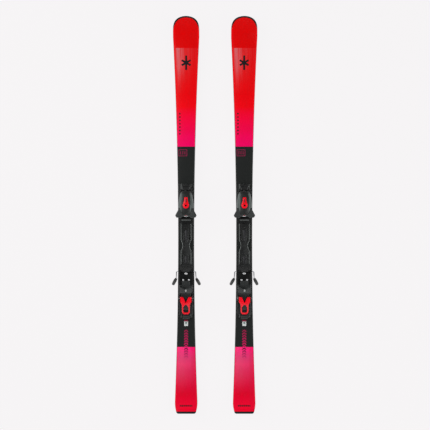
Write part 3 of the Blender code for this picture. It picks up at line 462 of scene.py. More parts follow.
def laminated_wood(name):
    """The core's glued strips, with a grain along them."""
    s = Shader(name)
    strips = s.node(
        "ShaderNodeTexWave", {"bands_direction": "X"}, Vector=s.place, Scale=24.0, Distortion=0.6
    ).outputs["Fac"]
    grain = s.noise(420.0, 4.0, 0.6, s.stretched(1.0, 0.03, 1.0))
    base = s.mix(strips, srgb(196, 150, 98), srgb(226, 192, 142))
    base = s.mix(s.remap(grain, 0.4, 0.7, 0.0, 0.5), base, srgb(140, 96, 56))
    return s.set(Base_Color=base, Roughness=s.remap(grain, 0.3, 0.7, 0.5, 0.7))


def sintered_base(name):
    """The black running base: a ground linear structure with wax haze."""
    s = Shader(name)
    structure = s.noise(1500.0, 2.0, 0.5, s.stretched(1.0, 0.01, 1.0))
    haze = s.noise(14.0, 4.0, 0.6, s.stretched(1.0, 0.25, 1.0))
    base = s.mix(s.remap(haze, 0.4, 0.75, 0.0, 0.6), srgb(22, 22, 24), srgb(56, 56, 60))
    rough = s.math("ADD", s.remap(haze, 0.3, 0.7, 0.34, 0.5), s.remap(structure, 0.3, 0.7, -0.05, 0.05))
    return s.set(Base_Color=base, Roughness=rough, Normal=s.bump(structure, 0.35, 0.0003))


SHEET_BLACK = srgb(33, 35, 34)
REAR_COLOURS = (
    (-850, (236, 0, 40)),
    (-815, (230, 0, 44)),
    (-790, (222, 0, 42)),
    (-766, (215, 0, 38)),
    (-740, (213, 6, 50)),
    (-715, (214, 22, 64)),
    (-689, (214, 34, 76)),
    (-663, (217, 42, 88)),
    (-638, (226, 52, 102)),
    (-612, (216, 54, 108)),
    (-590, (232, 46, 116)),
    (-572, (252, 32, 120)),
    (-563, (255, 30, 120)),
)
FRONT_COLOURS = (
    (294, (236, 0, 96)),
    (311, (236, 1, 92)),
    (337, (240, 0, 86)),
    (363, (237, 0, 73)),
    (388, (239, 0, 66)),
    (414, (241, 0, 56)),
    (440, (239, 0, 43)),
    (465, (238, 0, 16)),
    (520, (230, 0, 8)),
    (640, (222, 0, 4)),
    (718, (218, 0, 2)),
    (725, (214, 0, 0)),
    (850, (214, 0, 0)),
)


def sheet_marks(s):
    """Generic marks: a six-armed star of bars, a row of dots, outlined bars and a band of chevrons.
    Each is a mask of where it lies."""
    star_y = 655 * MM
    arms = [s.bar(0, star_y, angle, half * MM, 4.2 * MM) for angle, half in ((90, 31), (30, 22), (150, 22))]
    star = s.any(*arms, s.disc(0, star_y, 9.5 * MM))
    pitch = 14.4 * MM
    row_y = 349.5 * MM
    step = s.math("MODULO", s.math("SUBTRACT", s.y, row_y - pitch / 2), pitch)
    dot_away = s.math(
        "SQRT",
        s.math(
            "ADD",
            s.squared(s.math("SUBTRACT", step, pitch / 2)),
            s.squared(s.math("ADD", s.x, 27.0 * MM)),
        ),
    )
    row = s.inside(s.y, row_y - pitch / 2, row_y + 6.5 * pitch)
    dots = s.math("MULTIPLY", s.math("LESS_THAN", dot_away, 3.6 * MM), row)
    tail_bar = s.patch(-27 * MM, 27 * MM, -820 * MM, -814 * MM)
    slits = s.math("LESS_THAN", s.math("MODULO", s.math("ADD", s.x, 40 * MM), 9 * MM), 1.6 * MM)
    tail_bar = s.math("MULTIPLY", tail_bar, s.math("SUBTRACT", 1.0, slits))
    tail_line = s.patch(-44 * MM, 44 * MM, -834.6 * MM, -833.6 * MM)
    dark = s.any(star, dots, tail_bar)

    frame_outer = s.patch(-32 * MM, 4 * MM, 254 * MM, 282 * MM)
    frame_inner = s.patch(-30.4 * MM, 2.4 * MM, 255.6 * MM, 280.4 * MM)
    outline = s.math("SUBTRACT", frame_outer, frame_inner)
    bars = [s.bar(x * MM, 268 * MM, 90, 7 * MM, 1.1 * MM) for x in (-23, -14, -5)]
    bright = s.any(outline, s.any(*bars))

    # chevrons along the centre line, across the rear colour change
    slant = s.math("ADD", s.y, s.math("MULTIPLY", s.math("ABSOLUTE", s.x), 0.8))
    stripe = s.math("MODULO", s.math("ADD", slant, 1.0), 11 * MM)
    in_band = s.inside(s.x, -8.5 * MM, 8.5 * MM)
    chevrons = s.math("MULTIPLY", s.math("LESS_THAN", stripe, 5.4 * MM), in_band)
    front_part = s.math("MULTIPLY", chevrons, s.inside(s.y, BLACK_REAR_Y, -488 * MM))
    rear_part = s.math("MULTIPLY", chevrons, s.inside(s.y, -612 * MM, BLACK_REAR_Y))
    return dark, bright, front_part, rear_part, tail_line


def sheet_rim(s):
    """The black rim round the tip, which narrows down the sides, and the black strip by the tail guard."""
    inset = s.remap(s.y, RIM_START_Y, RIM_START_Y + 26 * MM, 0.0, 5.2 * MM)
    half = s.math("SUBTRACT", SHOVEL_HALF - 0.7 * MM, inset)
    across = s.squared(s.math("DIVIDE", s.x, half))
    share = s.math("DIVIDE", s.math("SUBTRACT", s.y, SHOVEL_Y), SHOVEL_LENGTH - 6.4 * MM)
    along = s.math("POWER", s.math("MAXIMUM", share, 0.0), TIP_POWER)
    outside = s.math("GREATER_THAN", s.math("ADD", across, along), 1.0)
    tip = s.math("MULTIPLY", outside, s.math("GREATER_THAN", s.y, RIM_START_Y))
    return s.any(tip, s.math("LESS_THAN", s.y, TAIL_Y + TAIL_STRIP))


def printed_sheet(name):
    """The gloss topsheet: the print's colours along the ski, brighter strips by its sides, a milky, brushed
    painted reflection on the shovel, painted reflection and painted shade across the tail, and generic marks."""
    s = Shader(name)
    in_front = s.math("GREATER_THAN", s.y, BLACK_FRONT_Y)
    behind = s.math("LESS_THAN", s.y, BLACK_REAR_Y)
    coloured = s.math("ADD", in_front, behind)
    front_stops = [(y * MM, srgb(*colour)) for y, colour in FRONT_COLOURS]
    rear_stops = [(y * MM, srgb(*colour)) for y, colour in REAR_COLOURS]
    base = s.mix(in_front, SHEET_BLACK, s.ramp(s.y, front_stops, FRONT_RAMP_Y, TIP_Y))
    base = s.mix(behind, base, s.ramp(s.y, rear_stops, TAIL_Y, REAR_RAMP_Y))

    # 0 on the centre line, 1 at the ski's side
    from_waist = s.math("SUBTRACT", s.y, WAIST_Y)
    half = s.math("ADD", s.math("DIVIDE", s.squared(from_waist), 2 * SIDECUT_RADIUS), WAIST_WIDTH / 2)
    signed = s.math("DIVIDE", s.x, half)
    across = s.math("ABSOLUTE", signed)

    streaks = s.noise(520.0, 4.0, 0.65, s.stretched(1.0, 0.012, 1.0))
    fine = s.noise(2200.0, 2.0, 0.6, s.stretched(1.0, 0.02, 1.0))
    mottle = s.noise(70.0, 4.0, 0.6, s.stretched(1.0, 0.5, 1.0))
    brushed = s.math("ADD", s.math("MULTIPLY", streaks, 0.65), s.math("MULTIPLY", fine, 0.35))

    # brighter strips along the sides
    side = s.remap(across, 0.78, 0.93, 0.0, 0.7, True)
    front_side = s.ramp(
        s.y,
        [(FRONT_RAMP_Y, srgb(250, 0, 96)), (470 * MM, srgb(246, 2, 18)), (715 * MM, srgb(240, 2, 12))],
        FRONT_RAMP_Y,
        TIP_Y,
    )
    rear_side = s.ramp(
        s.y,
        [(TAIL_Y, srgb(240, 0, 40)), (-760 * MM, srgb(236, 0, 44)), (REAR_RAMP_Y, srgb(250, 2, 92))],
        TAIL_Y,
        REAR_RAMP_Y,
    )
    base = s.mix(s.math("MULTIPLY", side, in_front), base, front_side)
    base = s.mix(s.math("MULTIPLY", side, behind), base, rear_side)

    # painted light behind the binding: a painted reflection makes the left side paler, and painted shade
    # makes the right side a deeper red
    painted_tail_reflection = s.math("MULTIPLY", s.remap(signed, -0.55, 0.35, 0.11, 0.0, True), behind)
    painted_tail_reflection = s.math("MULTIPLY", painted_tail_reflection, s.remap(s.y, -780 * MM, -640 * MM, 0.0, 1.0, True))
    base = s.mix(painted_tail_reflection, base, srgb(250, 120, 150))
    painted_tail_shade = s.math("MULTIPLY", s.remap(signed, 0.35, 0.7, 0.0, 0.3, True), behind)
    base = s.mix(painted_tail_shade, base, srgb(205, 0, 46))

    # a painted reflection on the shovel, milky and brushed: strongest left of the centre, fading to the right
    # and rearwards, and stopping sharply near where the tip turns up
    front_along = s.ramp(
        s.y,
        [(0.52, 0.0), (0.57, 0.14), (0.6, 0.3), (0.64, 0.7), (0.68, 0.92), (0.717, 1.0), (0.719, 0.0)],
        0.5,
        0.725,
    )
    left_weight = s.ramp(
        signed,
        [(-0.97, 0.0), (-0.85, 0.3), (-0.7, 1.0), (-0.42, 0.7), (-0.05, 0.24), (0.4, 0.13), (0.8, 0.08)],
        -1.0,
        1.0,
    )
    painted_reflection = s.math("MULTIPLY", front_along, left_weight)
    strands = s.noise(150.0, 2.0, 0.5, s.stretched(1.0, 0.04, 1.0))
    texture = s.remap(s.math("ADD", brushed, strands), 0.82, 1.16, 0.22, 1.15)
    painted_reflection = s.math("MULTIPLY", s.math("MULTIPLY", painted_reflection, texture), PAINTED_REFLECTION_STRENGTH, clamp=True)
    base = s.mix(painted_reflection, base, srgb(206, 128, 134))

    # fine brushing and mottling all over
    shade = s.math("MULTIPLY", s.remap(brushed, 0.35, 0.65, 0.0, 0.12), coloured)
    base = s.mix(shade, base, srgb(160, 0, 16))
    base = s.mix(s.remap(mottle, 0.5, 0.8, 0.0, 0.12), base, srgb(26, 8, 12))

    dark, bright, front_part, rear_part, tail_line = sheet_marks(s)
    base = s.mix(dark, base, srgb(28, 26, 28))
    base = s.mix(bright, base, srgb(160, 18, 78))
    fading = s.remap(s.y, REAR_RAMP_Y, -488 * MM, 0.95, 0.4)
    base = s.mix(s.math("MULTIPLY", front_part, fading), base, srgb(214, 16, 96))
    fading = s.remap(s.y, -612 * MM, -570 * MM, 0.3, 1.0)
    base = s.mix(s.math("MULTIPLY", rear_part, fading), base, srgb(48, 20, 38))
    base = s.mix(s.math("MULTIPLY", tail_line, 0.6), base, srgb(120, 0, 24))

    base = s.mix(sheet_rim(s), base, srgb(24, 25, 24))

    scratches = s.noise(900.0, 2.0, 0.5, s.stretched(1.0, 0.05, 1.0))
    rough = s.math("ADD", s.remap(mottle, 0.3, 0.7, 0.2, 0.3), s.remap(scratches, 0.6, 0.75, 0.0, 0.12))
    rough = s.math("ADD", rough, s.math("MULTIPLY", painted_reflection, 0.18), clamp=True)
    return s.set(
        Base_Color=base,
        Roughness=rough,
        Specular_IOR_Level=0.12,
        Normal=s.bump(brushed, 0.025, 0.0002),
    )


def label_film(name):
    """The small pale sticker behind the binding: a plain grey disc and a dark red front edge."""
    s = Shader(name)
    paper = s.noise(700.0, 3.0)
    base = s.mix(s.remap(paper, 0.35, 0.65, 0.0, 1.0), srgb(184, 190, 187), srgb(206, 210, 208))
    base = s.mix(s.disc(0.0, LABEL_Y, 4.6 * MM), base, srgb(104, 122, 116))
    front = s.math("GREATER_THAN", s.y, LABEL_Y + LABEL_HALF_Y - 7.5 * MM)
    base = s.mix(front, base, srgb(112, 8, 40))
    return s.set(Base_Color=base, Roughness=s.remap(paper, 0.3, 0.7, 0.3, 0.42))


def floor_paint(name):
    """The pale floor: it takes a faint shadow."""
    s = Shader(name)
    s.set(Base_Color=PALE, Roughness=1.0, Specular_IOR_Level=0.0)
    glow = s.node("ShaderNodeEmission", Color=PALE, Strength=1.0)
    mixer = s.node("ShaderNodeMixShader", Fac=FLOOR_GLOW)
    s.feed(mixer.inputs[1], s.surface.outputs[0])
    s.feed(mixer.inputs[2], glow.outputs[0])
    s.feed(s.tree.nodes["Material Output"].inputs["Surface"], mixer.outputs[0])
    return s.material


MATERIALS = {
    "topsheet": printed_sheet("printed_topsheet"),
    "black_base": sintered_base("sintered_base"),
    "black_abs": plastic(
        "sidewall_abs", srgb(24, 25, 25), roughness=0.4, grain=0.1, specular=0.2, wear_and_highlight=0.3
    ),
    "edge_steel": steel(
        "ground_edge_steel",
        srgb(196, 198, 202),
        roughness=0.3,
        contrast=0.62,
        along=(1.0, 0.02, 1.0),
        tarnish=0.3,
        scale=2400.0,
    ),
    "wood": laminated_wood("laminated_wood"),
    "track_black": plastic(
        "track_plastic",
        srgb(22, 23, 23),
        roughness=0.42,
        grain=0.14,
        lit_and_worn=srgb(176, 182, 179),
        specular=0.2,
        wear_and_highlight=0.42,
        even=0.85,
        # painted shade in the tracks' pockets and painted highlights on their rims
        tints=((track_floor_shade, srgb(7, 8, 8)), (track_rim_highlights, srgb(142, 148, 145))),
    ),
    "binding_black": plastic(
        "binding_plastic", srgb(26, 27, 27), roughness=0.4, grain=0.16, lit_and_worn=srgb(140, 145, 143)
    ),
    "housing": plastic(
        "toe_housing_plastic",
        srgb(29, 31, 30),
        roughness=0.4,
        grain=0.16,
        lit_and_worn=srgb(130, 138, 135),
        # grey side lobes: painted highlights on the rounded shoulders
        tints=((housing_lobe_highlights, srgb(84, 92, 89)),),
    ),
    "cup": plastic(
        "heel_cup_plastic",
        srgb(50, 52, 52),
        roughness=0.42,
        grain=0.16,
        lit_and_worn=srgb(136, 140, 139),
        tints=((cup_rear, srgb(18, 18, 19)),),
    ),
    "binding_grey": plastic(
        "grey_binding_plastic", srgb(47, 50, 50), roughness=0.42, grain=0.14, lit_and_worn=srgb(124, 128, 127)
    ),
    "pale_grey": plastic(
        "pale_grey_plastic", srgb(78, 81, 80), roughness=0.42, grain=0.14, lit_and_worn=srgb(140, 144, 142)
    ),
    "plain_black": plastic(
        "plain_black_plastic", srgb(14, 15, 15), roughness=0.42, grain=0.16, specular=0.15, wear_and_highlight=0.25
    ),
    "binding_red": red_plastic("red_plastic"),
    "window": smoked_window("smoked_window"),
    "bright_steel": steel("bright_steel", srgb(214, 215, 216), roughness=0.28, contrast=0.86),
    "plated_steel": steel("plated_steel", srgb(222, 223, 224), roughness=0.38, contrast=0.9, metal=0.55),
    "brake_steel": steel(
        "brake_wire_steel", srgb(178, 180, 182), roughness=0.3, contrast=0.86, coat=wire_middle
    ),
    "black_steel": blackened_steel("blackened_steel"),
    "foot_black": plastic(
        "brake_foot_plastic",
        srgb(32, 32, 32),
        roughness=0.5,
        grain=0.3,
        lit_and_worn=srgb(110, 110, 110),
        tints=((foot_rear, srgb(70, 71, 70)),),
    ),
    "label": label_film("label_film"),
    "marker": plastic(
        "marker_plastic", srgb(150, 152, 150), roughness=0.4, grain=0.1, lit_and_worn=srgb(190, 192, 190)
    ),
}


# ------------------------------------------------------------------ meshes


def piece_of(name, mesh, slot, look=None):
    """Links a finished mesh as a piece."""
    made = bpy.data.objects.new(name, mesh)
    bpy.context.scene.collection.objects.link(made)
    made.data.materials.clear()
    made.data.materials.append(MATERIALS[look or slot])
    return made


def smooth_shade(mesh):
    mesh.shade_smooth()
    mesh.set_sharp_from_angle(angle=math.radians(SHARP_ANGLE))


def bevelled(work, width):
    """Rounds the sharp edges, where their faces leave room, and marks the convex ones, which the materials
    paint with wear and painted highlights.
    """
    lit_and_worn = work.faces.layers.float.new("lit_and_worn")
    bmesh.ops.dissolve_limit(work, angle_limit=math.radians(1), verts=work.verts[:], edges=work.edges[:])
    sharp = [e for e in work.edges if e.is_manifold and e.calc_face_angle(0) > math.radians(ROUND_ANGLE)]
    rounded = bmesh.ops.bevel(
        work,
        geom=sharp,
        offset=width,
        offset_type="OFFSET",
        segments=ROUND_SEGMENTS,
        profile=0.5,
        affect="EDGES",
        clamp_overlap=True,
    )
    for face in rounded["faces"]:
        fold = sum(edge.calc_face_angle_signed(0) for edge in face.edges)
        face[lit_and_worn] = 1.0 if fold > 0.05 else 0.0


def finished_node(node, centre, look, width):
    """A piece in a CAD node's shape with its edges rounded, in the node's place."""
    source = frame["nodes"][node]
    mesh = source.data.copy()
    mesh.transform(Matrix.Translation(-centre))
    work = bmesh.new()
    work.from_mesh(mesh)
    bmesh.ops.remove_doubles(work, verts=work.verts[:], dist=0.001 * MM)
    if width:
        bevelled(work, width)
    work.to_mesh(mesh)
    work.free()
    smooth_shade(mesh)
    made = piece_of(f"{node}_finished", mesh, slot_of(node), look)
    made.location = centre
    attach(made, source["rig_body"])
    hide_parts(node)
    return made


def slot_of(node):
    """The node's material slot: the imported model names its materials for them."""
    return frame["nodes"][node].data.materials[0].name.split(".")[0]


# ------------------------------------------------------------------ the skis' skins


def eased(t):
    t = min(max(t, 0.0), 1.0)
    return t * t * (3 - 2 * t)


def sidecut(y):
    return WAIST_WIDTH / 2 + (y - WAIST_Y) ** 2 / (2 * SIDECUT_RADIUS)


def base_height(y):
    if y >= TIP_CONTACT_Y:
        return TIP_RISE * ((y - TIP_CONTACT_Y) / (TIP_Y - TIP_CONTACT_Y)) ** 2 - CAMBER
    if y <= TAIL_CONTACT_Y:
        return TAIL_RISE * ((TAIL_CONTACT_Y - y) / (TAIL_CONTACT_Y - TAIL_Y)) ** 2 - CAMBER
    if y > LEVEL_FRONT_Y:
        return -CAMBER * eased((y - LEVEL_FRONT_Y) / (TIP_CONTACT_Y - LEVEL_FRONT_Y))
    return -CAMBER * eased((LEVEL_REAR_Y - y) / (LEVEL_REAR_Y - TAIL_CONTACT_Y))


def thickness(y):
    if y > LEVEL_FRONT_Y:
        share = eased((y - LEVEL_FRONT_Y) / (THIN_TIP_Y - LEVEL_FRONT_Y))
        return THICK_MID + (THICK_TIP - THICK_MID) * share
    share = eased((LEVEL_REAR_Y - y) / (LEVEL_REAR_Y - THIN_TAIL_Y))
    return THICK_MID + (THICK_TAIL - THICK_MID) * share


def lean(y):
    return SIDEWALL_LEAN * thickness(y) / THICK_MID


def rim_point(station, side, tip):
    """(half width, y) of the outline at a station, inset by side and, round the tip, by tip. A station is
    ("along", y) behind the widest place of the shovel, or ("round", angle) in front of it."""
    kind, value = station
    if kind == "round":
        front = (SHOVEL_LENGTH - tip) * math.sin(value) ** (2 / TIP_POWER)
        return max((sidecut(SHOVEL_Y) - side) * math.cos(value), TIP_END_WIDTH), SHOVEL_Y + front
    y = value
    tail_y = TAIL_Y + TAIL_LENGTH
    if y >= tail_y:
        return sidecut(y) - side, y
    along = (tail_y - y) / TAIL_LENGTH
    width = (sidecut(tail_y) - side) * (1 - TAIL_TAPER * along**2)
    into = y - TAIL_Y
    if into < TAIL_CORNER:
        width -= TAIL_CORNER - math.sqrt(TAIL_CORNER**2 - (TAIL_CORNER - into) ** 2)
    return width, y


def stations():
    """Where the skins have their sections, from the tail to the tip."""
    body_steps = 110
    tip_steps = 28
    places = [("along", SKIN_TAIL_Y)]
    start = TAIL_Y + 12 * MM
    for i in range(body_steps + 1):
        places.append(("along", start + (SHOVEL_Y - start) * i / body_steps))
    for i in range(1, tip_steps + 1):
        places.append(("round", math.pi / 2 * i / tip_steps))
    return places


STATIONS = stations()


def section_point(station, side, tip, height, sign):
    """A point at a height above the base, or at a height given as a function of y."""
    if callable(side):
        side = side(station[1] if station[0] == "along" else SHOVEL_Y)
    half, y = rim_point(station, side, tip)
    lift = height(y) if callable(height) else height
    return (sign * half, y, base_height(y) + lift)


def loft(name, sections):
    """A closed body through rings of the same number of points, capped at both ends."""
    work = bmesh.new()
    rings = [[work.verts.new(point) for point in ring] for ring in sections]
    count = len(rings[0])
    for one, two in zip(rings, rings[1:]):
        for i in range(count):
            j = (i + 1) % count
            work.faces.new((one[i], one[j], two[j], two[i]))
    work.faces.new(rings[0])
    work.faces.new(rings[-1])
    bmesh.ops.recalc_face_normals(work, faces=work.faces[:])
    mesh = bpy.data.meshes.new(name)
    work.to_mesh(mesh)
    work.free()
    smooth_shade(mesh)
    return mesh


def solid_skin(name, profile):
    """A full-width layer. profile has (side inset, tip inset, height) from its lower edge to the top."""
    sections = []
    for station in STATIONS:
        right = [section_point(station, side, tip, height, 1) for side, tip, height in profile]
        left = [section_point(station, side, tip, height, -1) for side, tip, height in profile]
        sections.append(right + left[::-1])
    return loft(name, sections)


def ring_skin(name, profile):
    """A band that follows the outline from the tail round the tip. profile is the band's closed section."""
    sections = []
    for sign, order in ((-1, STATIONS), (1, STATIONS[::-1])):
        for station in order:
            ring = [section_point(station, side, tip, height, sign) for side, tip, height in profile]
            sections.append(ring)
    return loft(name, sections)


def sheet_profile():
    """The topsheet's section: a wall that leans with the sidewall and a rounded upper edge."""
    inset = SHEET_TIP_INSET
    profile = [(lean, inset, lambda y: thickness(y) - SHEET_THICK)]
    for step in range(5):
        turn = math.pi / 2 * step / 4
        out = SHEET_ROUNDING * (1 - math.cos(turn))
        drop = SHEET_ROUNDING * (1 - math.sin(turn))
        profile.append(
            (lambda y, out=out: lean(y) + out, inset + out, lambda y, drop=drop: thickness(y) - drop)
        )
    return profile


def wall_profile():
    """The sidewall's section, from just above the edge to just below the topsheet."""
    low = EDGE + GAP / 3

    def high(y):
        return thickness(y) - SHEET_THICK - GAP / 3

    return [
        (0.1 * MM, 0.0, low),
        (lean, 0.3 * MM, high),
        (SIDEWALL_WIDTH, SIDEWALL_TIP_WIDTH, high),
        (SIDEWALL_WIDTH, SIDEWALL_TIP_WIDTH, low),
    ]


def ski_skins(side, centre):
    """The four long pieces, drawn with smooth outlines in place of the CAD model's."""
    edge = [
        (0.0, 0.0, EDGE_CHAMFER),
        (0.0, 0.0, EDGE),
        (EDGE, EDGE, EDGE),
        (EDGE, EDGE, 0.0),
        (EDGE_CHAMFER, EDGE_CHAMFER, 0.0),
    ]
    inside = EDGE + GAP / 3
    base = [(inside, inside, 0.0), (inside, inside, BASE_THICK)]
    made = (
        ("topsheet", solid_skin("topsheet", sheet_profile()), "topsheet"),
        ("sidewall", ring_skin("sidewall", wall_profile()), "black_abs"),
        ("steel_edge", ring_skin("steel_edge", edge), "edge_steel"),
        ("running_base", solid_skin("running_base", base), "black_base"),
    )
    for node, mesh, slot in made:
        piece = piece_of(f"{side}_{node}_skin", mesh, slot)
        piece.location = centre
        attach(piece, f"{side}_ski")
        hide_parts(f"{side}_{node}")


# ------------------------------------------------------------------ small pieces


def lathe(name, profile, place, squash=1.0, steps=32, cut=None):
    """A closed body turned about a vertical axis. profile has (radius, height) from the bottom's rim to the
    top's; squash scales it along Y, and cut(angle, radius) may pull a ring's points inwards."""
    rings = []
    for radius, height in profile:
        ring = []
        for i in range(steps):
            turn = 2 * math.pi * i / steps
            reach = cut(turn, radius) if cut else radius
            x = place[0] + reach * math.cos(turn)
            y = place[1] + reach * math.sin(turn) * squash
            ring.append((x, y, place[2] + height))
        rings.append(ring)
    return loft(name, rings)


def dome_profile(radius, height, foot):
    """A low wall and a rounded top."""
    profile = [(radius * 0.97, 0.0), (radius, 0.15 * MM), (radius, foot)]
    for step in range(1, 7):
        turn = math.pi / 2 * step / 6.6
        profile.append((radius * math.cos(turn), foot + (height - foot) * math.sin(turn)))
    return profile


def screw_profile(radius, height):
    """A raised screw head whose top is sunk into a cross recess."""
    return [
        (radius * 0.96, 0.0),
        (radius, 0.2 * MM),
        (radius, height * 0.35),
        (radius * 0.93, height * 0.68),
        (radius * 0.78, height * 0.9),
        (radius * 0.62, height),
        (radius * 0.5, height),
        (radius * 0.42, height * 0.25),
    ]


def cross_recess(radius):
    """Pulls the two innermost rings of a screw head into a four-armed star."""

    def cut(turn, reach):
        if reach > radius * 0.55:
            return reach
        return reach * (1.0 if abs(math.sin(2 * turn)) < 0.42 else 0.42)

    return cut


def screw(name, place, radius, height):
    return lathe(name, screw_profile(radius, height), place, cut=cross_recess(radius))


def rounded_outline(half_x, half_y, corner, steps=6):
    """A rectangle with rounded corners, counter-clockwise."""
    corner = min(corner, half_x, half_y)
    points = []
    for quarter, (sx, sy) in enumerate(((1, 1), (-1, 1), (-1, -1), (1, -1))):
        for i in range(steps + 1):
            turn = math.pi / 2 * (quarter + i / steps)
            x = sx * (half_x - corner) + corner * math.cos(turn)
            y = sy * (half_y - corner) + corner * math.sin(turn)
            points.append((x, y))
    return points


def slab(name, half_x, half_y, corner, place, thick, chamfer, surface=None):
    """A plate with rounded corners and a rounded upper edge. surface(y) lifts it to follow what it lies
    on."""
    levels = (
        (0.0, 0.0),
        (0.0, thick - chamfer),
        (chamfer * 0.3, thick - chamfer * 0.3),
        (chamfer, thick),
    )
    rings = []
    for inset, height in levels:
        outline = rounded_outline(half_x - inset, half_y - inset, max(corner - inset, 0.1 * MM))
        ring = []
        for x, y in outline:
            at = place[1] + y
            lift = surface(at) if surface else 0.0
            ring.append((place[0] + x, at, place[2] + height + lift))
        rings.append(ring)
    return loft(name, rings)


def horn_sections(sign):
    """A raised rib on the toe latch, from near the housing out to the latch's front corner."""
    line = (
        (11.5, 108.6, 0.5),
        (12.4, 111.5, 1.2),
        (14.6, 117.5, 1.5),
        (16.8, 123.0, 1.2),
        (17.6, 125.4, 0.5),
    )
    lip = 0.3 * MM
    for x, y, half in line:
        low, high = LATCH_TOP, LATCH_TOP + (0.35 + 0.45 * half) * MM
        near, far = (x - half) * MM, (x + half) * MM
        yield [
            (sign * near, y * MM, low),
            (sign * near, y * MM, high - lip),
            (sign * (near + lip), y * MM, high),
            (sign * (far - lip), y * MM, high),
            (sign * far, y * MM, high - lip),
            (sign * far, y * MM, low),
        ]


def sloping(at, height, rise):
    """The height along a sloping face, as a function of y."""
    return lambda y: height + (y - at) * rise


def slab_row(name, body, slot, look, half, corner, place, thick, chamfer, surface=None):
    """A row for small_pieces() whose mesh is a slab. half is its half width and half length."""
    return name, slab(name, *half, corner, place, thick, chamfer, surface), body, slot, look


def flat_pieces():
    """Straps in the tracks' grooves, the toe stop with its seal, the rivet, the window and the pad."""
    for name, half_x, half_y, y in (("heel_strap", 5.5, 29, -203), ("toe_strap", 4.5, 24, -86)):
        yield slab_row(
            name,
            "ski",
            "bright_steel",
            "black_steel",
            half=(half_x * MM, half_y * MM),
            corner=half_x * MM,
            place=(0, y * MM, GROOVE_FLOOR),
            thick=1.5 * MM,
            chamfer=0.6 * MM,
        )
    stop = dome_profile(12.6 * MM, 3.4 * MM, 1.2 * MM)
    mesh = lathe("toe_stop", stop, (0, -1.9 * MM, TOE_PAD_TOP), squash=0.278, steps=48)
    yield "toe_stop", mesh, "toe", "bright_steel", "plated_steel"
    yield slab_row(
        "toe_stop_seal",
        "toe",
        "binding_red",
        None,
        half=(9.5 * MM, 0.9 * MM),
        corner=0.8 * MM,
        place=(0, 0.2 * MM, TOE_PAD_TOP),
        thick=5.6 * MM,
        chamfer=0.4 * MM,
    )
    rivet = dome_profile(6.8 * MM, 2.6 * MM, 0.8 * MM)
    mesh = lathe("brake_rivet", rivet, (0, -248.6 * MM, BRAKE_PLATE_TOP), squash=0.68)
    yield "brake_rivet", mesh, "heel", "bright_steel", "plated_steel"
    yield slab_row(
        "release_window",
        "toe",
        "binding_red",
        "window",
        half=(2.6 * MM, 9.0 * MM),
        corner=2.6 * MM,
        place=(0, 62.5 * MM, 0.0),
        thick=0.5 * MM,
        chamfer=0.25 * MM,
        surface=sloping(*INSERT_TOP),
    )
    yield slab_row(
        "slide_pad",
        "afd",
        "binding_black",
        "pale_grey",
        half=(20 * MM, 3.0 * MM),
        corner=3 * MM,
        place=(0, -19.8 * MM, PLATE_PAD_TOP),
        thick=0.34 * MM,
        chamfer=0.2 * MM,
    )


def raised_pieces():
    """The pedal's ribs and the toe latch's horns."""
    for number, y in enumerate((-213, -218.5, -224)):
        yield slab_row(
            f"pedal_rib_{number}",
            "pedal",
            "binding_black",
            None,
            half=(17 * MM, 1.1 * MM),
            corner=1.1 * MM,
            place=(0, y * MM, 0.0),
            thick=0.8 * MM,
            chamfer=0.35 * MM,
            surface=sloping(*PEDAL_TOP),
        )
    for number, sign in enumerate((-1, 1)):
        name = f"lock_horn_{number}"
        yield name, loft(name, horn_sections(sign)), "toe_lock", "binding_grey", "pale_grey"


def screws():
    """The brake's two screws and the tracks' four."""
    for name, x in (("brake_screw_a", -12), ("brake_screw_b", 12)):
        mesh = screw(name, (x * MM, -276 * MM, BRAKE_PLATE_TOP), 4.1 * MM, 2.2 * MM)
        yield name, mesh, "heel", "bright_steel", "plated_steel"
    for number, (x, y) in enumerate(((-15.5, -92), (15.5, -92), (-15.5, -182), (15.5, -182))):
        name = f"track_screw_{number}"
        mesh = screw(name, (x * MM, y * MM, POCKET_FLOOR), 3.2 * MM, 2.0 * MM)
        yield name, mesh, "ski", "bright_steel", "black_steel"


def marker_and_label():
    """The pale marker on the heel cup and the sticker behind the binding."""
    yield slab_row(
        "heel_marker",
        "cup",
        "binding_grey",
        "marker",
        half=(3.3 * MM, 4.5 * MM),
        corner=1.4 * MM,
        place=(0, -318.6 * MM, 0.0),
        thick=0.7 * MM,
        chamfer=0.25 * MM,
        surface=sloping(*CUP_TOP),
    )
    yield slab_row(
        "label",
        "ski",
        "topsheet",
        "label",
        half=(LABEL_HALF_X, LABEL_HALF_Y),
        corner=1.5 * MM,
        place=(0, LABEL_Y, 0.02 * MM),
        thick=0.16 * MM,
        chamfer=0.05 * MM,
        surface=lambda y: base_height(y) + thickness(y),
    )


def small_pieces(side, centre):
    """Pieces too small for CAD nodes. Each row has its name, mesh, body, slot and look, in the ski's own
    frame."""
    rows = (*flat_pieces(), *raised_pieces(), *screws(), *marker_and_label())
    for name, mesh, body, slot, look in rows:
        made = piece_of(f"{side}_{name}", mesh, slot, look)
        made.location = centre
        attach(made, f"{side}_{body}")


# ------------------------------------------------------------------ assembly

LOOKS = {
    "toe_track": "track_black",
    "heel_track": "track_black",
    "toe_carriage": "binding_black",
    "toe_housing": "housing",
    "toe_afd": "plain_black",
    "toe_lock_lever": "binding_black",
    "heel_lock_lever": "binding_grey",
    "heel_carriage": "binding_black",
    "brake_base": "plain_black",
    "brake_pedal": "black_abs",
    "heel_cup": "cup",
    "brake_wire": "brake_steel",
    "toe_tension_nut": "black_steel",
    "toe_din_screw": "black_steel",
    "heel_din_screw": "black_steel",
}
SKINNED = ("topsheet", "sidewall", "steel_edge", "running_base")
ROUNDING = {"wood_core": 0, "heel_spring": 0, "toe_spring": 0, "brake_wire": 0}


def node_names(side):
    return [name[len(side) + 1 :] for name in frame["nodes"] if name.startswith(side + "_")]


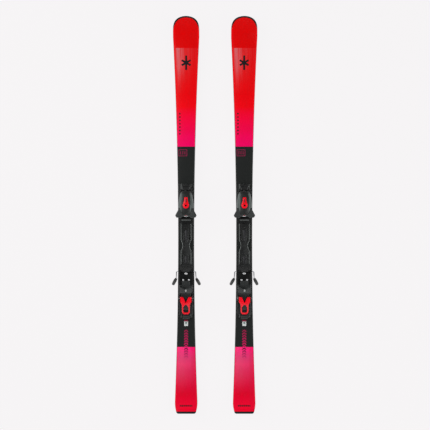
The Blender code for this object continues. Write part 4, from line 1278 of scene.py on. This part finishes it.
def ski_centre(side):
    """The ski's own origin: mid length, on the base under the boot."""
    low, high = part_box(f"{side}_heel_track")
    return Vector(((low.x + high.x) / 2, 0, low.z - THICK_MID - GAP))


def build_ski(side):
    centre = ski_centre(side)
    ski_skins(side, centre)
    small_pieces(side, centre)
    for name in node_names(side):
        if name not in SKINNED:
            finished_node(f"{side}_{name}", centre, LOOKS.get(name), ROUNDING.get(name, ROUND_WIDTH))


for ski in SIDES:
    build_ski(ski)


# ------------------------------------------------------------------ floor, light and camera


def add_floor():
    work = bmesh.new()
    bmesh.ops.create_circle(work, cap_ends=True, segments=96, radius=FLOOR_RADIUS)
    mesh = bpy.data.meshes.new("floor")
    work.to_mesh(mesh)
    work.free()
    floor = bpy.data.objects.new("floor", mesh)
    bpy.context.scene.collection.objects.link(floor)
    floor.data.materials.append(floor_paint("pale_floor"))
    floor.location.z = -FLOOR_DROP


def add_light(name, place, size, power, aim=(0.0, 0.0, 0.05)):
    data = bpy.data.lights.new(name, "AREA")
    data.shape = "RECTANGLE"
    data.size, data.size_y = size
    data.energy = power
    light = bpy.data.objects.new(name, data)
    bpy.context.scene.collection.objects.link(light)
    light.location = place
    light.rotation_euler = (Vector(aim) - Vector(place)).to_track_quat("-Z", "Y").to_euler()


def add_world(strength):
    world = bpy.data.worlds.new("studio")
    bpy.context.scene.world = world
    world.use_nodes = True
    nodes, links = world.node_tree.nodes, world.node_tree.links
    seen = nodes["Background"]
    seen.inputs["Color"].default_value = PALE
    seen.inputs["Strength"].default_value = 1.0
    lighting = nodes.new("ShaderNodeBackground")
    lighting.inputs["Color"].default_value = (1.0, 1.0, 1.0, 1.0)
    lighting.inputs["Strength"].default_value = strength
    mixer = nodes.new("ShaderNodeMixShader")
    path = nodes.new("ShaderNodeLightPath")
    links.new(path.outputs["Is Camera Ray"], mixer.inputs[0])
    links.new(lighting.outputs[0], mixer.inputs[1])
    links.new(seen.outputs[0], mixer.inputs[2])
    links.new(mixer.outputs[0], nodes["World Output"].inputs["Surface"])


def add_camera():
    data = bpy.data.cameras.new("camera")
    data.sensor_width = 36.0
    data.lens = CAMERA_LENS
    data.clip_end = 100.0
    camera = bpy.data.objects.new("camera", data)
    bpy.context.scene.collection.objects.link(camera)
    camera.location = CAMERA_PLACE
    bpy.context.scene.camera = camera


bpy.context.scene.view_settings.view_transform = "Standard"
add_floor()
for name, place, size, power in LIGHTS:
    add_light(name, place, size, power)
add_world(WORLD_STRENGTH)
add_camera()
